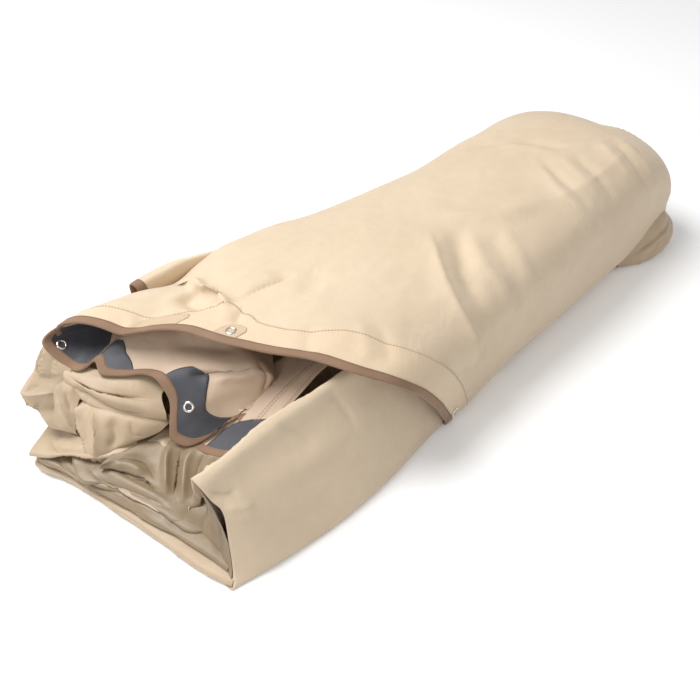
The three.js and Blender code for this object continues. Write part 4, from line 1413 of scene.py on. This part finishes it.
# each patch's outline: distance along the edge, depth in from it
POCKET = [(3, 50), (20, 78), (50, 88), (72, 74), (88, 46), (96, 20)]
HUMP = [(104, 38), (112, 42), (122, 42), (134, 36), (146, 26), (156, 15), (162, 5)]
RING = [
    (199, 46), (206, 53), (222, 56), (244, 57), (258, 57),
    (274, 55), (292, 52), (312, 47), (335, 42), (352, 36),
]
DEEP_CORNER = [(34, 40), (44, 54), (60, 60), (80, 58), (98, 50), (104, 40)]
pocket_patch_piece = layer_on("pocket_patch", inner_turn, POCKET, 1, PATCH_LIFT, [PATCH, PATCH])
layer_on("hump_patch", inner_turn, HUMP, 1, PATCH_LIFT, [PATCH, PATCH])
ring_patch_piece = layer_on("ring_patch", inner_turn, RING, 1, PATCH_LIFT, [PATCH, PATCH])
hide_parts("inner_patch_1")
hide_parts("inner_patch_2")

# %% The deep layer's tape, patch and taped seam
deep_end = float(deep_layer.edge[-1])
deep_tape = bind_edge("deep_layer_tape", deep_layer, 1, deep_end - 1, width=10.0, seed=3, over=0.6)
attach(deep_tape, "root")
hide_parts("deep_layer_binding")
deep_patch_piece = layer_on("deep_patch_cloth", deep_layer, DEEP_CORNER, 1, PATCH_LIFT, [PATCH, PATCH])
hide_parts("deep_patch")
seam_strip_piece = layer_on(
    "seam_strip", deep_layer, [(64, 165), (98, 165)], 52, 0.85, [INNER, INNER], 0.6, 40
)
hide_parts("seam_tape")

# %% [markdown]
# ## The back flap
# A strip of the sheet stands out behind the wrap. Its near end is bound, and its top edge is a
# fold with a stitch line under it.

# %% Back flap
FLAP_ROWS = [
    [(-280, 178, 116), (-250, 176, 118), (-214, 172, 122), (-180, 162, 126), (-140, 150, 130)],
    [(-283, 188, 146), (-254, 185, 149), (-216, 177, 153), (-180, 165, 154), (-135, 148, 150)],
    [(-284, 196, 146), (-254, 194, 149), (-216, 184, 152), (-180, 171, 152), (-135, 153, 147)],
    [(-283, 200, 124), (-254, 199, 126), (-216, 194, 128), (-178, 186, 126), (-132, 172, 120)],
    [(-281, 201, 84), (-254, 201, 84), (-216, 197, 84), (-176, 192, 80), (-130, 182, 74)],
    [(-279, 198, 44), (-254, 198, 42), (-216, 195, 40), (-175, 190, 36), (-128, 180, 32)],
]
flap_grid = soft_unevenness(grid_through(FLAP_ROWS, 60, 70), 40, 1.8, seed=61, folds=0.4).swapaxes(0, 1)
back_flap = Cloth(flap_grid)
if back_flap.normals[10, 40, 1] < 0:
    back_flap = Cloth(flap_grid, flip=True)
flap_piece = cloth_piece("back_flap_cloth", back_flap, [OUTER, INNER])
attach(flap_piece, "root")
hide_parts("back_flap")
flap_tape = bind_edge("back_flap_tape", back_flap, 1, float(back_flap.edge[-1]) - 1, seed=4)
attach(flap_tape, "root")
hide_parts("back_flap_binding")

# %% [markdown]
# ## Stitches
# A row of stitches is one short rounded thread repeated along a line, which is a rule, so
# Geometry Nodes make it: resample the line, put a stitch on every point, turn it along the
# line, make it real and give it the thread's finish. The sizes are inputs of the tree.

# %% The stitch tree
def build_stitch_tree():
    tree = bpy.data.node_groups.new("stitches_along_line", "GeometryNodeTree")
    face = tree.interface
    face.new_socket("Geometry", in_out="INPUT", socket_type="NodeSocketGeometry")
    sizes = {}
    lengths = {"Pitch": 0.0034, "Stitch length": 0.0025, "Thread width": 0.0007, "Thread height": 0.0005}
    for name, value in lengths.items():
        made = face.new_socket(name, in_out="INPUT", socket_type="NodeSocketFloat")
        made.default_value = value
        sizes[name] = made.identifier
    thread = face.new_socket("Thread", in_out="INPUT", socket_type="NodeSocketMaterial")
    sizes["Thread"] = thread.identifier
    face.new_socket("Geometry", in_out="OUTPUT", socket_type="NodeSocketGeometry")
    new, link = tree.nodes.new, tree.links.new
    inside, outside = new("NodeGroupInput"), new("NodeGroupOutput")
    curve = new("GeometryNodeMeshToCurve")
    points = new("GeometryNodeCurveToPoints")
    points.mode = "LENGTH"
    stitch = new("GeometryNodeMeshUVSphere")
    stitch.inputs["Segments"].default_value = 7
    stitch.inputs["Rings"].default_value = 5
    stitch.inputs["Radius"].default_value = 0.5
    size = new("ShaderNodeCombineXYZ")
    shape = new("GeometryNodeTransform")
    turn = new("FunctionNodeAlignRotationToVector")
    turn.axis = "X"
    place = new("GeometryNodeInstanceOnPoints")
    smooth = new("GeometryNodeSetShadeSmooth")
    real = new("GeometryNodeRealizeInstances")
    paint = new("GeometryNodeSetMaterial")
    link(inside.outputs["Geometry"], curve.inputs[0])
    link(curve.outputs[0], points.inputs[0])
    link(inside.outputs["Pitch"], points.inputs["Length"])
    for socket, name in enumerate(("Stitch length", "Thread width", "Thread height")):
        link(inside.outputs[name], size.inputs[socket])
    link(stitch.outputs[0], shape.inputs[0])
    link(size.outputs[0], shape.inputs["Scale"])
    link(points.outputs["Tangent"], turn.inputs["Vector"])
    link(points.outputs["Points"], place.inputs["Points"])
    link(shape.outputs[0], smooth.inputs[0])
    link(smooth.outputs[0], place.inputs["Instance"])
    link(turn.outputs[0], place.inputs["Rotation"])
    link(place.outputs[0], real.inputs[0])
    link(real.outputs[0], paint.inputs[0])
    link(inside.outputs["Thread"], paint.inputs["Material"])
    link(paint.outputs[0], outside.inputs[0])
    return tree, sizes


STITCH_TREE, STITCH_SIZES = build_stitch_tree()


def sew(name, lines, thread, pitch=4.0, length=2.9, width=0.95):
    """Stitches along lines of millimetre points, as one plain mesh."""
    vertices, edges = [], []
    for line in lines:
        start = len(vertices)
        vertices.extend(tuple(p * MM) for p in np.asarray(line))
        edges.extend((start + k, start + k + 1) for k in range(len(line) - 1))
    mesh = bpy.data.meshes.new(name + "_line")
    mesh.from_pydata(vertices, edges, [])
    line_object = bpy.data.objects.new(name + "_line", mesh)
    bpy.context.scene.collection.objects.link(line_object)
    modifier = line_object.modifiers.new("stitches", "NODES")
    modifier.node_group = STITCH_TREE
    values = {
        "Pitch": pitch * MM, "Stitch length": length * MM,
        "Thread width": width * MM, "Thread height": width * MM * 0.8,
    }
    for key, value in values.items():
        modifier[STITCH_SIZES[key]] = value
    modifier[STITCH_SIZES["Thread"]] = thread
    graph = bpy.context.evaluated_depsgraph_get()
    made = bpy.data.meshes.new_from_object(line_object.evaluated_get(graph))
    bpy.data.objects.remove(line_object)
    piece = bpy.data.objects.new(name, made)
    bpy.context.scene.collection.objects.link(piece)
    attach(piece, "root")
    print(f"{name}: {len(made.polygons)} faces in {len(lines)} rows")
    return piece


def stitch_line(cloth, along, inward, lift):
    along, inward = np.broadcast_arrays(np.asarray(along, float), np.asarray(inward, float))
    return cloth.at(along, inward, lift)


hem_run = np.linspace(6, WRAP_FLOOR - 3, 260)
sew("outer_hem_stitches", [stitch_line(outer_wrap, hem_run, hem_depth(hem_run) - 2.0, 1.45)], THREAD)
sew("outer_tape_stitches", [stitch_line(outer_wrap, hem_run, TAPE_WIDTH - 1.8, 2.55)], BROWN_THREAD)
inner_run = np.linspace(6, inner_end - 3, 160)
sew("inner_tape_stitches", [stitch_line(inner_turn, inner_run, 10.4, 2.05)], BROWN_THREAD)

# %% Stitches round the patches and along the seam
PATCH_STITCH_LIFT = 1.45
GREY_THREAD = thread_finish("grey_thread", colour(112, 110, 116), colour(86, 84, 92))


def round_patch(cloth, spans, lift, inset=2.0):
    spans = np.asarray(spans, float)
    along = np.linspace(spans[0, 0] + inset, spans[-1, 0] - inset, 60)
    return stitch_line(cloth, along, np.interp(along, spans[:, 0], spans[:, 1]) - inset, lift)


sew(
    "patch_stitches",
    [
        round_patch(inner_turn, POCKET, PATCH_STITCH_LIFT),
        round_patch(inner_turn, HUMP, PATCH_STITCH_LIFT),
        round_patch(inner_turn, RING, PATCH_STITCH_LIFT),
        round_patch(deep_layer, DEEP_CORNER, PATCH_STITCH_LIFT),
    ],
    GREY_THREAD,
)
seam_run = np.linspace(56, 160, 60)
sew("seam_stitches", [stitch_line(deep_layer, s, seam_run, 1.3) for s in (67, 71, 94)], THREAD)
flap_run = np.linspace(14, 170, 90)
flap_fold = float(back_flap.edge[-1]) * 0.3
sew("back_flap_stitches", [stitch_line(back_flap, flap_fold, flap_run, 0.8)], THREAD)

# %% [markdown]
# ## Eyelets
# An eyelet is a stamped ring: a domed flange on top, a barrel through the cloth and a flat
# washer below, rolled over the barrel's end. All of it is round, so each part is a profile
# turned on an axis.

# %% The eyelet maker
def turned(name, profile, place, axis, material, steps=56):
    """A closed profile of (radius, height) turned round an axis at a place."""
    axis = Vector(axis).normalized()
    turn = axis.to_track_quat("Z", "Y").to_matrix()
    vertices, faces = [], []
    count = len(profile)
    for s in range(steps):
        angle = 2 * math.pi * s / steps
        for radius, height in profile:
            local = Vector((radius * math.cos(angle), radius * math.sin(angle), height))
            vertices.append(tuple(Vector(place) + turn @ local))
    for s in range(steps):
        for k in range(count):
            a, b = s * count + k, s * count + (k + 1) % count
            c, d = ((s + 1) % steps) * count + (k + 1) % count, ((s + 1) % steps) * count + k
            faces.append((a, d, c, b))
    p = np.array(vertices) - np.array(place)
    q = p[np.array(faces)]
    volume = np.einsum("ij,ij->i", q[:, 0], np.cross(q[:, 1], q[:, 2]) + np.cross(q[:, 2], q[:, 3])).sum()
    if volume < 0:
        faces = [f[::-1] for f in faces]
    return mesh_piece(name, vertices, faces, [material])


FLANGE = [
    (EYELET_HOLE, -0.6), (EYELET_HOLE, 0.5), (EYELET_HOLE + 0.25, 1.15),
    (EYELET_HOLE + 0.9, 1.6), (EYELET_HOLE + 1.8, 1.7),
    (EYELET_RADIUS - 1.2, 1.35), (EYELET_RADIUS - 0.4, 0.85), (EYELET_RADIUS, 0.25), (EYELET_RADIUS - 0.1, -0.1),
    (EYELET_RADIUS - 0.6, 0.0), (EYELET_HOLE + 1.2, 0.7), (EYELET_HOLE + 0.55, 0.3), (EYELET_HOLE + 0.5, -0.6),
]
WASHER = [
    (EYELET_HOLE + 0.05, 0.9), (EYELET_HOLE + 0.05, -0.9), (EYELET_HOLE + 0.9, -1.5), (EYELET_HOLE + 1.9, -1.4),
    (EYELET_HOLE + 2.2, -0.9), (EYELET_RADIUS - 0.6, -0.85), (EYELET_RADIUS - 0.2, -0.4), (EYELET_RADIUS - 0.2, 0.0),
    (EYELET_HOLE + 0.5, 0.1), (EYELET_HOLE + 0.5, 0.9),
]
# sheet, distance along its edge, distance in from it, which eyelet of the frame
EYELETS = [
    (outer_wrap, 389, 23, "1"),
    (outer_wrap, 770, 20, "2"),
    (inner_turn, 256, 30, "3"),
    (inner_turn, 37, 19, "4"),
]
eyelet_places = {}
for cloth, along, inward, number in EYELETS:
    middle = cloth.at(along, inward, 0.0)
    out = cloth.at(along, inward, 1.0) - middle
    eyelet_places[number] = [int(v) for v in middle]
    flange = turned(f"eyelet_{number}_flange", FLANGE, cloth.at(along, inward, 1.35), out, NICKEL)
    washer = turned(f"eyelet_{number}_back", WASHER, cloth.at(along, inward, -0.6), out, NICKEL)
    for piece in (flange, washer):
        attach(piece, "root")
    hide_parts(f"eyelet_{number}")
    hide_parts(f"eyelet_washer_{number}")
print("eyelets at", eyelet_places)

# %% [markdown]

# %% [markdown]


# %% [markdown]
# ## Floor and light
# The bundle is shown on a plain pale floor in soft studio light: a big soft light
# above and behind on the left, a weaker one from the front, and a pale world all round that keeps
# the shadows open.

# %% Floor and lights
FLOOR_COLOUR = colour(250, 250, 250)
floor_mesh = bpy.data.meshes.new("floor")
floor_mesh.from_pydata([(-9, -9, 0), (9, -9, 0), (9, 9, 0), (-9, 9, 0)], [], [(0, 1, 2, 3)])
floor = bpy.data.objects.new("floor", floor_mesh)
floor_finish = Finish("pale_floor")
floor_mesh.materials.append(
    floor_finish.finish(
        Base_Color=FLOOR_COLOUR, Roughness=0.9, Specular_IOR_Level=0.1,
        Emission_Color=FLOOR_COLOUR, Emission_Strength=0.06,
    )
)
bpy.context.scene.collection.objects.link(floor)


def soft_light(name, place, aim_at, size, watts):
    data = bpy.data.lights.new(name, "AREA")
    data.shape = "DISK"
    data.size = size
    data.energy = watts
    lamp = bpy.data.objects.new(name, data)
    lamp.location = place
    lamp.rotation_euler = (Vector(place) - Vector(aim_at)).to_track_quat("Z", "Y").to_euler()
    bpy.context.scene.collection.objects.link(lamp)
    return lamp


KEY = soft_light("key_light", (-0.7, 0.9, 2.1), (0, 0, 0.05), 1.3, 53)
FILL = soft_light("fill_light", (-0.9, -2.0, 1.6), (0, 0, 0.1), 1.6, 4)
END = soft_light("end_light", (-2.0, -0.2, 1.1), (-0.35, 0, 0.1), 0.7, 6)
FAR = soft_light("far_light", (2.0, -1.2, 1.2), (0.4, -0.1, 0.1), 1.0, 4)
world = bpy.data.worlds.new("studio")
bpy.context.scene.world = world
world.use_nodes = True
world.node_tree.nodes["Background"].inputs[0].default_value = (1.0, 1.0, 1.0, 1)
world.node_tree.nodes["Background"].inputs[1].default_value = 0.45
bpy.context.scene.view_settings.view_transform = "Standard"
print("lights:", KEY.name, FILL.name, END.name, FAR.name)
